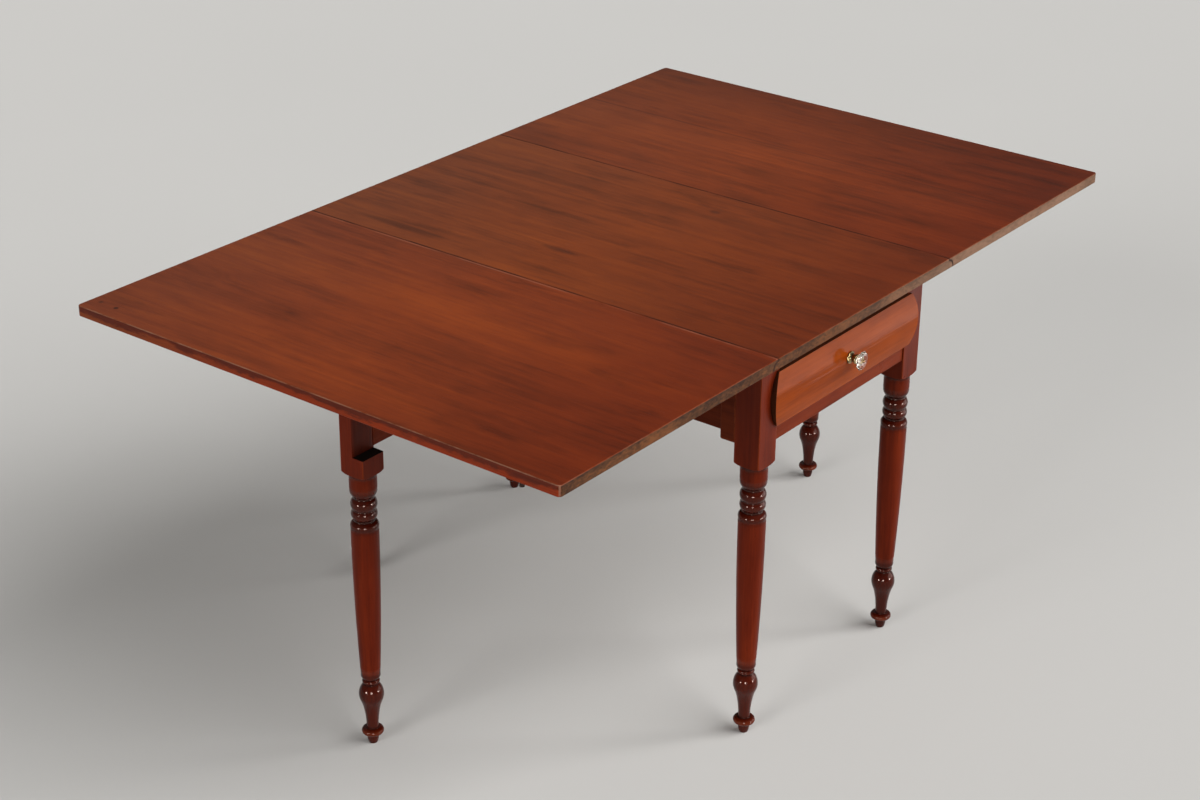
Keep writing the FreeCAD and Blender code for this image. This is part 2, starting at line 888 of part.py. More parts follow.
def hang_gate_piece(thing, side, angle, z=0):
    return place(thing, side * pivot_x, -side * size.pivot_offset, z, turn=angle)


def finger_heights(moving):
    """The height of each finger of the fixed or of the moving half of a knuckle joint."""
    first = 1 if moving else 0
    return [
        (apron_bottom + k * knuckle_height, apron_bottom + (k + 1) * knuckle_height)
        for k in range(first, KNUCKLE_FINGERS, 2)
    ]


def knuckle_barrels(name, moving, top):
    """The round fingers of one half of a knuckle joint, none higher than its rail's top."""
    barrels = []
    for k, (low, high) in enumerate(finger_heights(moving)):
        if high.number > top.number:
            high = top
        barrels.append(rod(f"{name}_finger_{k}", 0, 0, low, fly_half, high - low))
    return barrels


def knuckle_gaps(name, moving, way):
    """The space that the other half's fingers sweep in a rail that leaves the pin along one way of Y."""
    reach = fly_half + size.gate_gap
    gaps = []
    for k, limits in enumerate(finger_heights(not moving)):
        low, high = widened(limits, size.finger_gap)
        gaps.append(rod(f"{name}_round_{k}", 0, 0, low, reach, high - low))
        gaps.append(block(f"{name}_square_{k}", (-reach, length(0)), span(way, 0, reach), (low, high)))
    return gaps


def pin_hole(name):
    return rod(name, 0, 0, apron_bottom, size.gate_pin_radius + size.pin_gap, underside - apron_bottom)


def fly_rail_tenon(name, gap=0):
    """The fly rail's tenon in its swing leg, or its mortise with a gap round it."""
    start = gate_length - leg_half
    return block(
        name,
        widened(centred(length(0), size.tenon_thickness), gap),
        widened((-start - size.tenon_length, -start), gap),
        widened((apron_bottom + size.tenon_shoulder, gate_top - size.tenon_top_shoulder), gap),
    )


def build_gate(side, word):
    """A fly rail and the swing leg at its end."""
    name = f"fly_rail_{word}"
    end = gate_length - leg_half
    bar = block(name + "_bar", (-fly_half, fly_half), (-end, length(0)), (apron_bottom, gate_top))
    body = cut(name + "_body", bar, knuckle_gaps(name, True, FRONT))
    tenon = fly_rail_tenon(name + "_tenon")
    whole = fuse(name + "_whole", [body, tenon] + knuckle_barrels(name, True, gate_top))
    rail = cut(name, whole, [pin_hole(name + "_hole")])
    add_node(name, hang_gate_piece(rail, side, gate_angle(side)))

    name = f"swing_leg_{word}"
    offset = leg_half - fly_half
    blank = leg_blank(name, offset, -gate_length, gate_top)
    notch = block(
        name + "_notch",
        (fly_half, offset + size.leg_square),
        (-gate_length - size.leg_square, -gate_length + size.leg_square),
        (apron_bottom - size.head_notch_drop, size.table_height),
    )
    leg = cut(name, blank, [notch, fly_rail_tenon(name + "_mortise", size.mortise_gap)])
    add_node(name, hang_gate_piece(leg, side, gate_angle(side)))


def stop_block(name):
    """The block at the right back leg that a closed swing leg meets, rounded at its free lower edge."""
    start = leg_inner_y - size.stop_block_length
    rounding = size.stop_block_rounding
    rise = rounding * (1 - math.sqrt(0.5))
    corners = [
        Corner(start + rounding, apron_bottom),
        Corner(leg_inner_y, apron_bottom),
        Corner(leg_inner_y, underside),
        Corner(start, underside),
        Corner(start, apron_bottom + rounding, swell=rise),
    ]
    body = padded(name, "YZ_Plane", corners, frame_half_x - side_rail_outer)
    return group(name + "_seated", [place(body, (frame_half_x + side_rail_outer) / 2)])


def build_gate_carrier(side, word):
    """The fixed outer rail with its fingers, the pin, and the stop block where the gate closes."""
    closed_turn = length(0) if side == LEFT else length(HALF_TURN)
    name = f"outer_rail_{word}"
    bar = block(
        name + "_bar",
        (-fly_half, fly_half + size.gate_gap),
        (length(0), leg_inner_y - size.pivot_offset),
        (apron_bottom, underside),
    )
    body = cut(name + "_body", bar, knuckle_gaps(name, False, BACK))
    whole = fuse(name + "_whole", [body] + knuckle_barrels(name, False, underside))
    rail = cut(name, whole, [pin_hole(name + "_hole")])
    add_node(name, hang_gate_piece(rail, side, closed_turn))

    name = f"gate_pin_{word}"
    pin = rod(name, 0, 0, apron_bottom, size.gate_pin_radius, underside - apron_bottom)
    add_node(name, hang_gate_piece(pin, side, closed_turn, apron_bottom))

    name = f"stop_block_{word}"
    add_node(name, half_turned(stop_block(name), side))


# Drawer and what carries it


def build_drawer_carriers(side, word):
    front_face = -frame_half_y + size.front_rail_setback
    runner = block(
        f"drawer_runner_{word}",
        span(side, carrier_outer - size.runner_width, carrier_outer),
        (front_face + size.lower_rail_depth, back_rail_inner),
        (apron_bottom, runner_top),
    )
    add_node(f"drawer_runner_{word}", runner)
    kicker = block(
        f"drawer_kicker_{word}",
        span(side, carrier_outer - size.kicker_width, carrier_outer),
        (front_face + size.upper_rail_depth, back_rail_inner),
        (kicker_bottom, underside),
    )
    add_node(f"drawer_kicker_{word}", kicker)


def swelled_face():
    """The part of the drawer front before the legs: bowed ends, swelled from top to bottom."""
    low = drawer_bottom_edge
    high = drawer_top_edge
    edge = front_back_face - size.front_edge_proud
    outline = [
        Corner(-front_half_width, low),
        Corner(front_half_width, low, swell=size.front_end_swell),
        Corner(front_half_width, high),
        Corner(-front_half_width, high, swell=size.front_end_swell),
    ]
    section = [
        Corner(edge, low),
        Corner(front_back_face, low),
        Corner(front_back_face, high),
        Corner(edge, high, swell=size.front_swell),
    ]
    shape = padded("front_shape", "XZ_Plane", outline, 2 * front_depth)
    place(shape, 0, front_back_face)
    width = 2 * (front_half_width + size.front_end_swell + size.front_overlap)
    return common("swelled_face", shape, padded("front_section", "YZ_Plane", section, width))


def drawer_side_range(side):
    return span(side, drawer_half - size.drawer_side_thickness, drawer_half)


def drawer_places():
    """Where the drawer's boards meet, along Y."""
    inner_face = front_back_face + size.front_thickness
    lap = inner_face - size.drawer_lap
    return SimpleNamespace(inner_face=inner_face, lap=lap, end=lap + size.drawer_length)


def bottom_board(name, gap):
    """The drawer's bottom board, or the groove for it with a gap round it."""
    at = drawer_places()
    reach = drawer_half - size.drawer_side_thickness + size.drawer_groove
    low = drawer_bottom_edge + size.drawer_bottom_lift
    return block(
        name,
        widened((-reach, reach), gap),
        (at.inner_face - size.drawer_groove - gap, at.end + gap),
        widened((low, low + size.drawer_bottom_thickness), gap),
    )


def dovetail(name, side, k, gap=0):
    """One tail on the front end of a drawer side, wider towards the front, or its socket with a gap."""
    at = drawer_places()
    pitch = (drawer_top_edge - drawer_bottom_edge) / DRAWER_TAILS
    middle = drawer_bottom_edge + (k + 0.5) * pitch
    wide = size.tail_width / 2 + gap
    narrow = wide - size.tail_narrowing
    outline = [
        Corner(at.lap - gap, middle - wide),
        Corner(at.inner_face, middle - narrow),
        Corner(at.inner_face, middle + narrow),
        Corner(at.lap - gap, middle + wide),
    ]
    tail = padded(name, "YZ_Plane", outline, size.drawer_side_thickness + 2 * gap)
    return place(tail, side * (drawer_half - size.drawer_side_thickness / 2))


def build_drawer_box():
    at = drawer_places()
    heights = (drawer_bottom_edge, drawer_top_edge)
    inner = drawer_half - size.drawer_side_thickness
    plug = block("front_plug", (-drawer_half, drawer_half), (front_back_face, at.inner_face), heights)
    whole = fuse("front_whole", [swelled_face(), plug])
    sockets = [
        dovetail(f"front_socket_{side}_{k}", side, k, size.mortise_gap)
        for side in (LEFT, RIGHT)
        for k in range(DRAWER_TAILS)
    ]
    bolt_way = rod(
        "front_bolt_way",
        0,
        at.inner_face,
        knob_height,
        size.bolt_radius + size.bolt_gap,
        front_depth,
        axis="y",
    )
    groove = bottom_board("front_groove", size.mortise_gap)
    add_node("drawer_front", cut("drawer_front", whole, sockets + [groove, bolt_way]))

    for side, word in ((LEFT, "left"), (RIGHT, "right")):
        name = f"drawer_side_{word}"
        board = block(name + "_board", drawer_side_range(side), (at.inner_face, at.end), heights)
        tails = [dovetail(f"{name}_tail_{k}", side, k) for k in range(DRAWER_TAILS)]
        whole_side = fuse(name + "_whole", [board] + tails)
        add_node(name, cut(name, whole_side, [bottom_board(name + "_groove", size.mortise_gap)]))

    bottom_top = drawer_bottom_edge + size.drawer_bottom_lift + size.drawer_bottom_thickness
    back = block(
        "drawer_back",
        (-inner, inner),
        (at.end - size.drawer_back_thickness, at.end),
        (bottom_top + size.mortise_gap, drawer_top_edge - size.drawer_back_drop),
    )
    add_node("drawer_back", back)
    add_node("drawer_bottom", bottom_board("drawer_bottom", 0))


# Knob, drawn along its own Z axis and turned to point out of the drawer front

knob_height = front_middle + size.knob_rise
knob_base = front_back_face - size.front_edge_proud - size.front_swell


def face_forwards(thing):
    return place(thing, 0, knob_base, knob_height, turn=QUARTER_TURN, axis=(1, 0, 0))


def build_knob():
    way = size.bolt_radius + size.bolt_gap
    ferrule_end = size.rose_thickness + size.ferrule_length
    disc_back = ferrule_end + size.glass_neck_length
    glass_end = disc_back + size.glass_thickness
    rim_low = disc_back + (size.glass_thickness - size.glass_rim) / 2
    rim_radius = size.glass_diameter / 2
    face_radius = rim_radius - size.flute_radius

    rose = [
        Corner(way, 0),
        Corner(size.rose_diameter / 2, 0),
        Corner(size.rose_diameter / 2, size.rose_thickness / 2),
        Corner(size.ferrule_diameter / 2, size.rose_thickness),
        Corner(size.ferrule_end_diameter / 2, ferrule_end),
        Corner(way, ferrule_end),
    ]
    add_node("knob_rose", face_forwards(turned("knob_rose", rose)))

    glass = [
        Corner(way, ferrule_end),
        Corner(size.glass_neck_diameter / 2, ferrule_end),
        Corner(size.glass_neck_diameter / 2, disc_back),
        Corner(rim_radius, rim_low),
        Corner(rim_radius, rim_low + size.glass_rim),
        Corner(face_radius, glass_end),
        Corner(way, glass_end),
    ]
    flutes = []
    for k in range(GLASS_FLUTES):
        angle = 2 * math.pi * k / GLASS_FLUTES
        reach = rim_radius + size.flute_radius - size.flute_depth
        flute = rod(
            f"flute_{k}",
            reach * round(math.cos(angle), 6),
            reach * round(math.sin(angle), 6),
            disc_back,
            size.flute_radius,
            2 * size.glass_thickness,
        )
        flutes.append(flute)
    add_node("knob_glass", face_forwards(cut("knob_glass", turned("glass_blank", glass), flutes)))

    shank_end = -front_depth - 2 * size.nut_thickness
    head = size.bolt_head_diameter / 2
    chord_squared = head * head + size.bolt_head_height * size.bolt_head_height
    dome_radius = chord_squared / (2 * size.bolt_head_height)
    bolt = [
        Corner(0, shank_end),
        Corner(size.bolt_radius, shank_end),
        Corner(size.bolt_radius, glass_end),
        Corner(head, glass_end, swell=dome_radius - root(dome_radius * dome_radius - chord_squared / 4)),
        Corner(0, glass_end + size.bolt_head_height),
    ]
    add_node("knob_bolt", face_forwards(turned("knob_bolt", bolt)))

    half = size.nut_square / 2
    nut_end = -front_depth - size.nut_thickness
    square = block("nut_square_block", (-half, half), (-half, half), (nut_end, -front_depth))
    thread = rod("nut_way", 0, 0, nut_end, way, size.nut_thickness)
    add_node("knob_nut", face_forwards(cut("knob_nut", square, [thread])))


# Small pieces


def build_glue_blocks():
    """Blocks glued into the corner between the back rail and the top."""
    half = size.glue_block_length / 2
    spacing = carrier_outer - size.kicker_width - size.glue_block_clearance - half
    blocks = [
        block(
            f"glue_block_{k}",
            (k * spacing - half, k * spacing + half),
            (back_rail_inner - size.glue_block, back_rail_inner),
            (underside - size.glue_block, underside),
        )
        for k in (-1, 0, 1)
    ]
    add_node("glue_blocks", group("glue_blocks", blocks))


def build_leaf_peg():
    """The short peg under the left leaf's outer edge, near the drawer end."""
    peg = rod(
        "leaf_peg",
        -leaf_edge + size.leaf_peg_inset,
        -top_half + size.leaf_peg_from_end,
        underside - size.leaf_peg_length,
        size.leaf_peg_diameter / 2,
        size.leaf_peg_length,
    )
    add_node("leaf_peg", peg)


def build_table():
    build_top()
    build_cross_rails()
    for side, word in ((LEFT, "left"), (RIGHT, "right")):
        build_leaf(side, word)
        build_hinges(side, word)
        build_side_rail(side, word)
        build_fixed_leg(side, word, FRONT, "front")
        build_fixed_leg(side, word, BACK, "back")
        build_gate(side, word)
        build_gate_carrier(side, word)
        build_drawer_carriers(side, word)
    build_drawer_box()
    build_knob()
    build_glue_blocks()
    build_leaf_peg()


def check_document():
    """Stop if any object failed to build or any piece has no valid shape."""
    for thing in doc.Objects:
        if "Invalid" in thing.State or "Error" in thing.State:
            raise RuntimeError(f"{thing.Label} failed: {thing.State}")
    for name, thing in nodes.items():
        if thing.Shape.isNull() or not thing.Shape.isValid() or not thing.Shape.Solids:
            raise RuntimeError(f"{name} has no valid solid")


def write_pieces():
    os.makedirs("parts", exist_ok=True)
    for name, thing in nodes.items():
        thing.Shape.exportStep(os.path.join("parts", name + ".step"))


build_table()
doc.recompute()
check_document()
write_pieces()
print(len(nodes), "pieces")
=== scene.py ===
# %% [markdown]
# # A drop-leaf table with swing legs
# The table stands open: two leaves are up on swung-out legs and one drawer runs in the near end.
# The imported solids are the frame, in metres, with +Z up and the floor at z = 0. The drawer looks towards -Y.
# Each step below dresses one part of the table, and the last ones set it on a pale studio floor.

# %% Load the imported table
import json
import math

import bmesh
import bpy
import numpy as np
from mathutils import Matrix, Vector

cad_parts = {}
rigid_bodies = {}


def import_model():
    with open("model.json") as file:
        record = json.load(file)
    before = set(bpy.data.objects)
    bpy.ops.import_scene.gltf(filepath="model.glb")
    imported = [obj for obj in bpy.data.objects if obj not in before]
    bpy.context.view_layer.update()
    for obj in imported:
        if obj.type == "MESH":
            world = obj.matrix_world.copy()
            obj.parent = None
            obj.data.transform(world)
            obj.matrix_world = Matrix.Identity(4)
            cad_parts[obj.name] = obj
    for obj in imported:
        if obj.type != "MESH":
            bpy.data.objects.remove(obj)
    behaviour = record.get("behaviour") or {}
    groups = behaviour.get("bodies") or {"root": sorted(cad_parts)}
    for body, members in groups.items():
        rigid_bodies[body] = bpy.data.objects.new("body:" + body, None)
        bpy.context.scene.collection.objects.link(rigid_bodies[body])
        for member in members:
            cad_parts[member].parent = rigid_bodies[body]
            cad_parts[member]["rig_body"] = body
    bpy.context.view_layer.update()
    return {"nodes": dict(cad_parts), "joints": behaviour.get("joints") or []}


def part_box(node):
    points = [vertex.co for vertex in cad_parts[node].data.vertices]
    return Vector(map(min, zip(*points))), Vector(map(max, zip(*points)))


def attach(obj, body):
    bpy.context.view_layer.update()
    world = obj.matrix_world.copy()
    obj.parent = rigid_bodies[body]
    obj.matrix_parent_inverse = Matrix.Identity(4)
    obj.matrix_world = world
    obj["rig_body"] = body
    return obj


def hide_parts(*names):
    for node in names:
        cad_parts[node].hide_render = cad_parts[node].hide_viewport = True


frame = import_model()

MM = 0.001
nodes = frame["nodes"]

# %% [markdown]
# ## The camera
# The long edges of the top and the upright legs run to vanishing points, and these give the lens and the
# direction of view. The place of the camera follows from the table's height. A plain pinhole camera with
# no shift repeats the picture, and the small roll keeps the legs leaning as they do there.

# %% Camera
CAMERA_PLACE = (-3.0732, -2.3223, 2.2783)
CAMERA_AZIMUTH = 52.352
CAMERA_PITCH = 25.848
CAMERA_ROLL = 0.504
CAMERA_LENS = 71.14
CAMERA_SENSOR = 36.0


def camera_turn():
    """Rotation whose columns are the picture's right, its up and the way back to the viewer.
    The view leaves +Y by the azimuth, dips by the pitch, and the right side is lifted by the roll."""
    azimuth, pitch, roll = np.radians([CAMERA_AZIMUTH, CAMERA_PITCH, CAMERA_ROLL])
    level = np.array([np.sin(azimuth), np.cos(azimuth), 0])
    forward = np.cos(pitch) * level - np.sin(pitch) * np.array([0, 0, 1])
    level_right = np.array([np.cos(azimuth), -np.sin(azimuth), 0])
    level_up = np.cross(level_right, forward)
    right = np.cos(roll) * level_right + np.sin(roll) * level_up
    return Matrix(np.column_stack([right, np.cross(right, forward), -forward]).tolist())


camera_data = bpy.data.cameras.new("camera")
camera_data.lens = CAMERA_LENS
camera_data.sensor_width = CAMERA_SENSOR
camera = bpy.data.objects.new("camera", camera_data)
camera.matrix_world = Matrix.Translation(CAMERA_PLACE) @ camera_turn().to_4x4()
bpy.context.scene.collection.objects.link(camera)
bpy.context.scene.camera = camera
print("camera at", CAMERA_PLACE, "lens", CAMERA_LENS)

# %% [markdown]
# ## Short calls for material nodes
# A varnished board is light and dark wood, grain, pores, worn arrises and a gloss that is not quite even.
# All of that can be worked out from a point's place on the piece, so it holds from any side and needs no
# picture file. The class keeps the node trees short: a call adds a node or two and gives back an output.

# %% Material nodes


def opaque(colour):
    return (*colour, 1)


class Finish:
    """A material that grows node by node."""

    def __init__(self, name):
        self.material = bpy.data.materials.new(name)
        self.material.use_nodes = True
        self.tree = self.material.node_tree
        self.shader = self.tree.nodes["Principled BSDF"]
        self.coordinates = self.add("TexCoord")

    def add(self, kind, inputs=None, **settings):
        """A node with its settings made and each input set to a value or joined to an output."""
        node = self.tree.nodes.new("ShaderNode" + kind)
        for setting, value in settings.items():
            setattr(node, setting, value)
        for socket, value in (inputs or {}).items():
            self.join(node.inputs[socket], value)
        return node

    def join(self, socket, value):
        if isinstance(value, bpy.types.NodeSocket):
            self.tree.links.new(value, socket)
        else:
            socket.default_value = value

    def place(self):
        return self.coordinates.outputs["Object"]

    def part_of(self, vector, letter):
        """One coordinate of a vector."""
        return self.add("SeparateXYZ", {0: vector}).outputs["XYZ".index(letter)]

    def at(self, letter):
        """One coordinate of the place on the piece."""
        return self.part_of(self.place(), letter)

    def facing(self, letter):
        """How far the surface faces along one axis of the piece, from -1 to 1."""
        return self.part_of(self.coordinates.outputs["Normal"], letter)

    def noise(self, vector, scale, detail=3, roughness=0.5, distortion=0):
        """Soft lumps, so many to the metre, with a few finer layers on top."""
        values = {"Vector": vector, "Scale": scale, "Detail": detail}
        values.update({"Roughness": roughness, "Distortion": distortion})
        return self.add("TexNoise", values).outputs[0]

    def drawn_out(self, grain, pattern, shift=(0, 0, 0)):
        """Lumps that run long in the grain's direction. A pattern says how far that direction is squeezed
        and then what noise takes: lumps to the metre, layers, roughness and distortion."""
        squeeze, *lumps = pattern
        scale = [1, 1, 1]
        scale["XYZ".index(grain)] = squeeze
        values = {"Vector": self.place(), "Location": shift, "Scale": scale}
        return self.noise(self.add("Mapping", values).outputs[0], *lumps)

    def math(self, operation, first, second=0.0, third=0.0):
        values = {0: first, 1: second, 2: third}
        return self.add("Math", values, operation=operation).outputs[0]

    def weighted(self, *pairs):
        """The sum of values, each times its weight."""
        total = 0.0
        for value, weight in pairs:
            total = self.math("MULTIPLY_ADD", value, weight, total)
        return total

    def fade(self, value, low, high):
        """0 at low, 1 at high and a smooth step between them."""
        values = {"Value": value, "From Min": low, "From Max": high}
        return self.add("MapRange", values, interpolation_type="SMOOTHSTEP").outputs[0]

    def between(self, value, low, high):
        """A value from 0 to 1 spread evenly over another range."""
        return self.add("MapRange", {"Value": value, "To Min": low, "To Max": high}).outputs[0]

    def ramp(self, factor, *stops):
        """A colour that blends from stop to stop. A stop is a position from 0 to 1 and a colour."""
        node = self.add("ValToRGB", {0: factor})
        elements = node.color_ramp.elements
        while len(elements) < len(stops):
            elements.new(1.0)
        for element, (position, colour) in zip(elements, stops):
            element.position = position
            element.color = opaque(colour)
        return node.outputs[0]

    def mix(self, factor, first, second, blend="MIX"):
        values = {0: factor, 6: first, 7: second}
        return self.add("Mix", values, data_type="RGBA", blend_type=blend).outputs[2]

    def over(self, colour, layer, cover, strength):
        """A colour under a plain layer, which lies where the cover is 1 and is as thick as the strength."""
        return self.mix(self.math("MULTIPLY", cover, strength), colour, opaque(layer))

    def bump(self, height, depth):
        """Normals of a surface that rises by the height times a depth in metres."""
        return self.add("Bump", {"Height": height, "Distance": depth}).outputs[0]

    def shade(self, colour, roughness, normal=None, **constants):
        """Join the finished colour, roughness and normal to the shader, and set its other sockets."""
        self.join(self.shader.inputs["Base Color"], colour)
        self.join(self.shader.inputs["Roughness"], roughness)
        if normal is not None:
            self.join(self.shader.inputs["Normal"], normal)
        for socket, value in constants.items():
            self.shader.inputs[socket.replace("_", " ")].default_value = value
        return self.material


def give(material, *names):
    """Put one material on CAD nodes."""
    for name in names:
        nodes[name].data.materials.clear()
        nodes[name].data.materials.append(material)
    print(material.name, "on", ", ".join(names))


# %% [markdown]
# ## Cherry under old varnish
# The wood is cherry, stained red and darkened by age. The stain has gone in unevenly and left broad bands,
# longer and shorter streaks and soft clouds, all drawn out along the grain. Thin year lines and fibres as
# fine as hairs lie over them. Each is a noise squeezed along the grain by its own amount, which wanders as
# wood does, while a wave would repeat itself. The contrast is low: from a step away the board is one warm
# colour. Short dark pores dip into a varnish whose low gloss is not quite even.

# %% Wood recipe
DIRT = (0.022, 0.009, 0.006)
REDDISH_GLOSS = (1.0, 0.74, 0.64, 1)
# Share of the tone and pattern of the bands, the streaks, the clouds and the year lines
STAIN_PATTERNS = (
    (0.25, 0.14, 10, 2, 0.5, 0.4),
    (0.19, 0.11, 46, 3, 0.55, 0.5),
    (0.18, 0.45, 22, 4, 0.62, 0.3),
    (0.20, 0.022, 130, 2, 0.5, 0.2),
)
FIBRES = (0.035, 300, 3, 0.65)
FIBRE_SHARE = 0.18
PORES = (0.05, 760, 1)
PORE_DARKNESS = 0.4
RUBBED_STRENGTH = 0.6
GRAIN_DEPTH = 0.00012


def figure(finish, grain, shift=(0, 0, 0)):
    """The tone of one board from its bands, streaks, clouds, lines and fibres, then its fibres and pores."""
    stain = [(finish.drawn_out(grain, pattern, shift), share) for share, *pattern in STAIN_PATTERNS]
    fibres = finish.drawn_out(grain, FIBRES, shift)
    pores = finish.fade(finish.drawn_out(grain, PORES, shift), 0.62, 0.74)
    return finish.weighted(*stain, (fibres, FIBRE_SHARE)), fibres, pores


def wood_colour(finish, tones, tone, pores):
    """Dark, middle and light wood by the tone, with the pores in the dark one."""
    dark, middle, light = tones
    colour = finish.ramp(tone, (0.37, dark), (0.50, middle), (0.63, light))
    return finish.over(colour, dark, pores, PORE_DARKNESS)


def varnished_wood(name, grain, tones, gloss, roughness, rubbed=None, rim_and_shade=None):
    """A rail or drawer board: the figure, an uneven low gloss, and pores that dip a little.
    On a rubbed arris the stain is gone in patches. The rim and shade colour goes on all that faces sideways
    or up: the end grain's own dark tone, with painted shade for the gaps round the drawer front."""
    finish = Finish(name)
    tone, fibres, pores = figure(finish, grain)
    colour = wood_colour(finish, tones, tone, pores)
    if rim_and_shade is not None:
        # The end grain's dark tone and painted shade of the gaps round the drawer front
        forwards = finish.math("ABSOLUTE", finish.facing("Y"))
        colour = finish.mix(finish.fade(forwards, 0.75, 0.45), colour, opaque(rim_and_shade))
    if rubbed is not None:
        patches = finish.fade(finish.noise(finish.place(), 70, 4, 0.6), 0.38, 0.60)
        colour = finish.over(colour, rubbed, patches, RUBBED_STRENGTH)
    rough = finish.between(finish.noise(finish.place(), 9, 3), *roughness)
    bump = finish.bump(finish.weighted((fibres, 0.6), (pores, -0.5)), GRAIN_DEPTH)
    return finish.shade(colour, rough, bump, Specular_IOR_Level=gloss, Specular_Tint=REDDISH_GLOSS)


# %% [markdown]
# ## The three boards of the top
# The middle board is the brownest and the near leaf the reddest, with one light streak down its middle. The
# far leaf is glued up from two boards that meet in a faint dark line, and the outer one darkens towards its
# edge. A tint along the length paints the varnish's reflection and shade: all are deep red towards the drawer
# end, where it paints shade, and a little greyer towards the other, where it paints reflection. Short
# smudges of deeper stain, a few knots and two plugs lie in the faces.

# %% Colour of a board's face
BOARD_HALF_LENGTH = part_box("top_center")[1].y
NEAR_LEAF_TONES = ((0.116, 0.0228, 0.0098), (0.205, 0.0370, 0.0130), (0.266, 0.0504, 0.0137))
CENTRE_TONES = ((0.106, 0.0250, 0.0104), (0.193, 0.0406, 0.0140), (0.254, 0.0546, 0.0151))
FAR_LEAF_TONES = ((0.108, 0.0228, 0.0088), (0.200, 0.0374, 0.0119), (0.262, 0.0496, 0.0127))
# Stops of the painted reflection and shade along the top, from the drawer end to the far end
DRAWER_END_PAINTED_SHADE = (0.74, 0.54, 0.26)
MIDDLE_REFLECTION_TINT = (1.0, 0.95, 0.60)
FAR_END_PAINTED_REFLECTION = (0.85, 1.0, 1.0)
TINT_WANDER = 0.24
SMUDGES = (0.20, 26, 5, 0.64, 0.6)
SMUDGE_TINT = (0.60, 0.62, 0.70)
# Place across the top and half width of the near leaf's streak, and what it adds to the tone
LIGHT_STREAK = (-0.470, 0.100)
STREAK_LIFT = 0.05
FAR_JOINT = 0.543
JOINT_BLUR = 0.0004
# Distances from the joint at which its dark line starts and is full
JOINT_LINE = (0.0020, 0.0007)
JOINT_DARKNESS = 0.55
OUTER_BOARD_TINT = (0.91, 0.88, 0.88)
OUTER_EDGE_TINT = (0.72, 0.70, 0.72)
OUTER_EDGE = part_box("leaf_right")[1].x
# Place on the top, half width, half length and darkness of each mark
NEAR_LEAF_PLUGS = ((-0.7708, 0.4798, 0.006, 0.006, 0.55), (-0.7720, 0.4425, 0.006, 0.006, 0.85))
CENTRE_KNOTS = (
    (-0.128, 0.039, 0.010, 0.050, 0.42),
    (0.186, -0.064, 0.010, 0.016, 0.42),
    (-0.215, 0.330, 0.014, 0.130, 0.42),
)
MARK_CORE = 0.35


def painted_reflection_and_shade(finish):
    """Painted reflection and shade along the length: deeper red at the drawer end, plain in the middle
    and greyer at the far end, along a wandering line.
    """
    along = finish.math("MULTIPLY_ADD", finish.noise(finish.place(), 4, 3), TINT_WANDER, finish.at("Y"))
    share = finish.math("MULTIPLY_ADD", along, 0.5 / BOARD_HALF_LENGTH, 0.5 - TINT_WANDER / 2)
    return finish.ramp(share, (0.03, DRAWER_END_PAINTED_SHADE), (0.52, MIDDLE_REFLECTION_TINT), (0.97, FAR_END_PAINTED_REFLECTION))


def distance(finish, value, middle):
    """How far a value is from a middle one, either way."""
    return finish.math("ABSOLUTE", finish.math("SUBTRACT", value, middle))


def mark(finish, x, y, half_width, half_length):
    """1 in the core of a spot of the top and 0 outside it, seen from above."""
    scale = (1 / half_width, 1 / half_length, 0)
    values = {"Vector": finish.place(), "Scale": scale, "Location": (-x / half_width, -y / half_length, 0)}
    apart = finish.add("Mapping", values).outputs[0]
    length = finish.add("VectorMath", {0: apart}, operation="LENGTH").outputs["Value"]
    return finish.fade(length, 1.0, MARK_CORE)


def glued_up(finish, colour, across, joint):
    """The colour of two boards: past their joint it darkens towards the edge, and a thin line is on it."""
    tint = finish.mix(
        finish.fade(across, joint, OUTER_EDGE), opaque(OUTER_BOARD_TINT), opaque(OUTER_EDGE_TINT)
    )
    outer = finish.fade(across, joint - JOINT_BLUR, joint + JOINT_BLUR)
    colour = finish.mix(outer, colour, tint, "MULTIPLY")
    line = finish.fade(distance(finish, across, joint), *JOINT_LINE)
    return finish.over(colour, DIRT, line, JOINT_DARKNESS)


def face_colour(finish, tones, shift, streak, joint, marks):
    """The stained upper face of a board, then its fibres and pores."""
    tone, fibres, pores = figure(finish, "Y", shift)
    across = finish.at("X")
    if streak is not None:
        middle, half_width = streak
        light = finish.fade(distance(finish, across, middle), half_width, 0.0)
        tone = finish.math("MULTIPLY_ADD", light, STREAK_LIFT, tone)
    # Painted reflection and shade along the length of the board
    colour = finish.mix(1.0, wood_colour(finish, tones, tone, pores), painted_reflection_and_shade(finish), "MULTIPLY")
    smudges = finish.fade(finish.drawn_out("Y", SMUDGES, shift), 0.50, 0.82)
    colour = finish.mix(smudges, colour, opaque(SMUDGE_TINT), "MULTIPLY")
    if joint is not None:
        colour = glued_up(finish, colour, across, joint)
    for *spot, darkness in marks:
        colour = finish.over(colour, DIRT, mark(finish, *spot), darkness)
    return colour, fibres, pores


# %% [markdown]
# ## Ends of the boards
# The ends show brown end grain, which turns lighter and greyer towards the far leaf. On them the rule joint
# is a dark line: down from the seam, then along the quarter circle on which the leaf turns about its hinge,
# then down to the underside. The distance from that line is worked out from the place alone.

# %% Colour of the ends
END_GRAIN_LIGHT = (0.170, 0.058, 0.018)
END_GRAIN_MIDDLE = (0.088, 0.033, 0.012)
END_GRAIN_DARK = (0.036, 0.014, 0.007)
GREYER_END_LIGHT = (0.240, 0.130, 0.080)
GREYER_END_DARK = (0.120, 0.062, 0.036)
# Places across the top between which the ends turn greyer
GREYER_SPAN = (-0.15, 0.40)
END_FLECKS = (0.45, 260, 4, 0.75, 0.4)
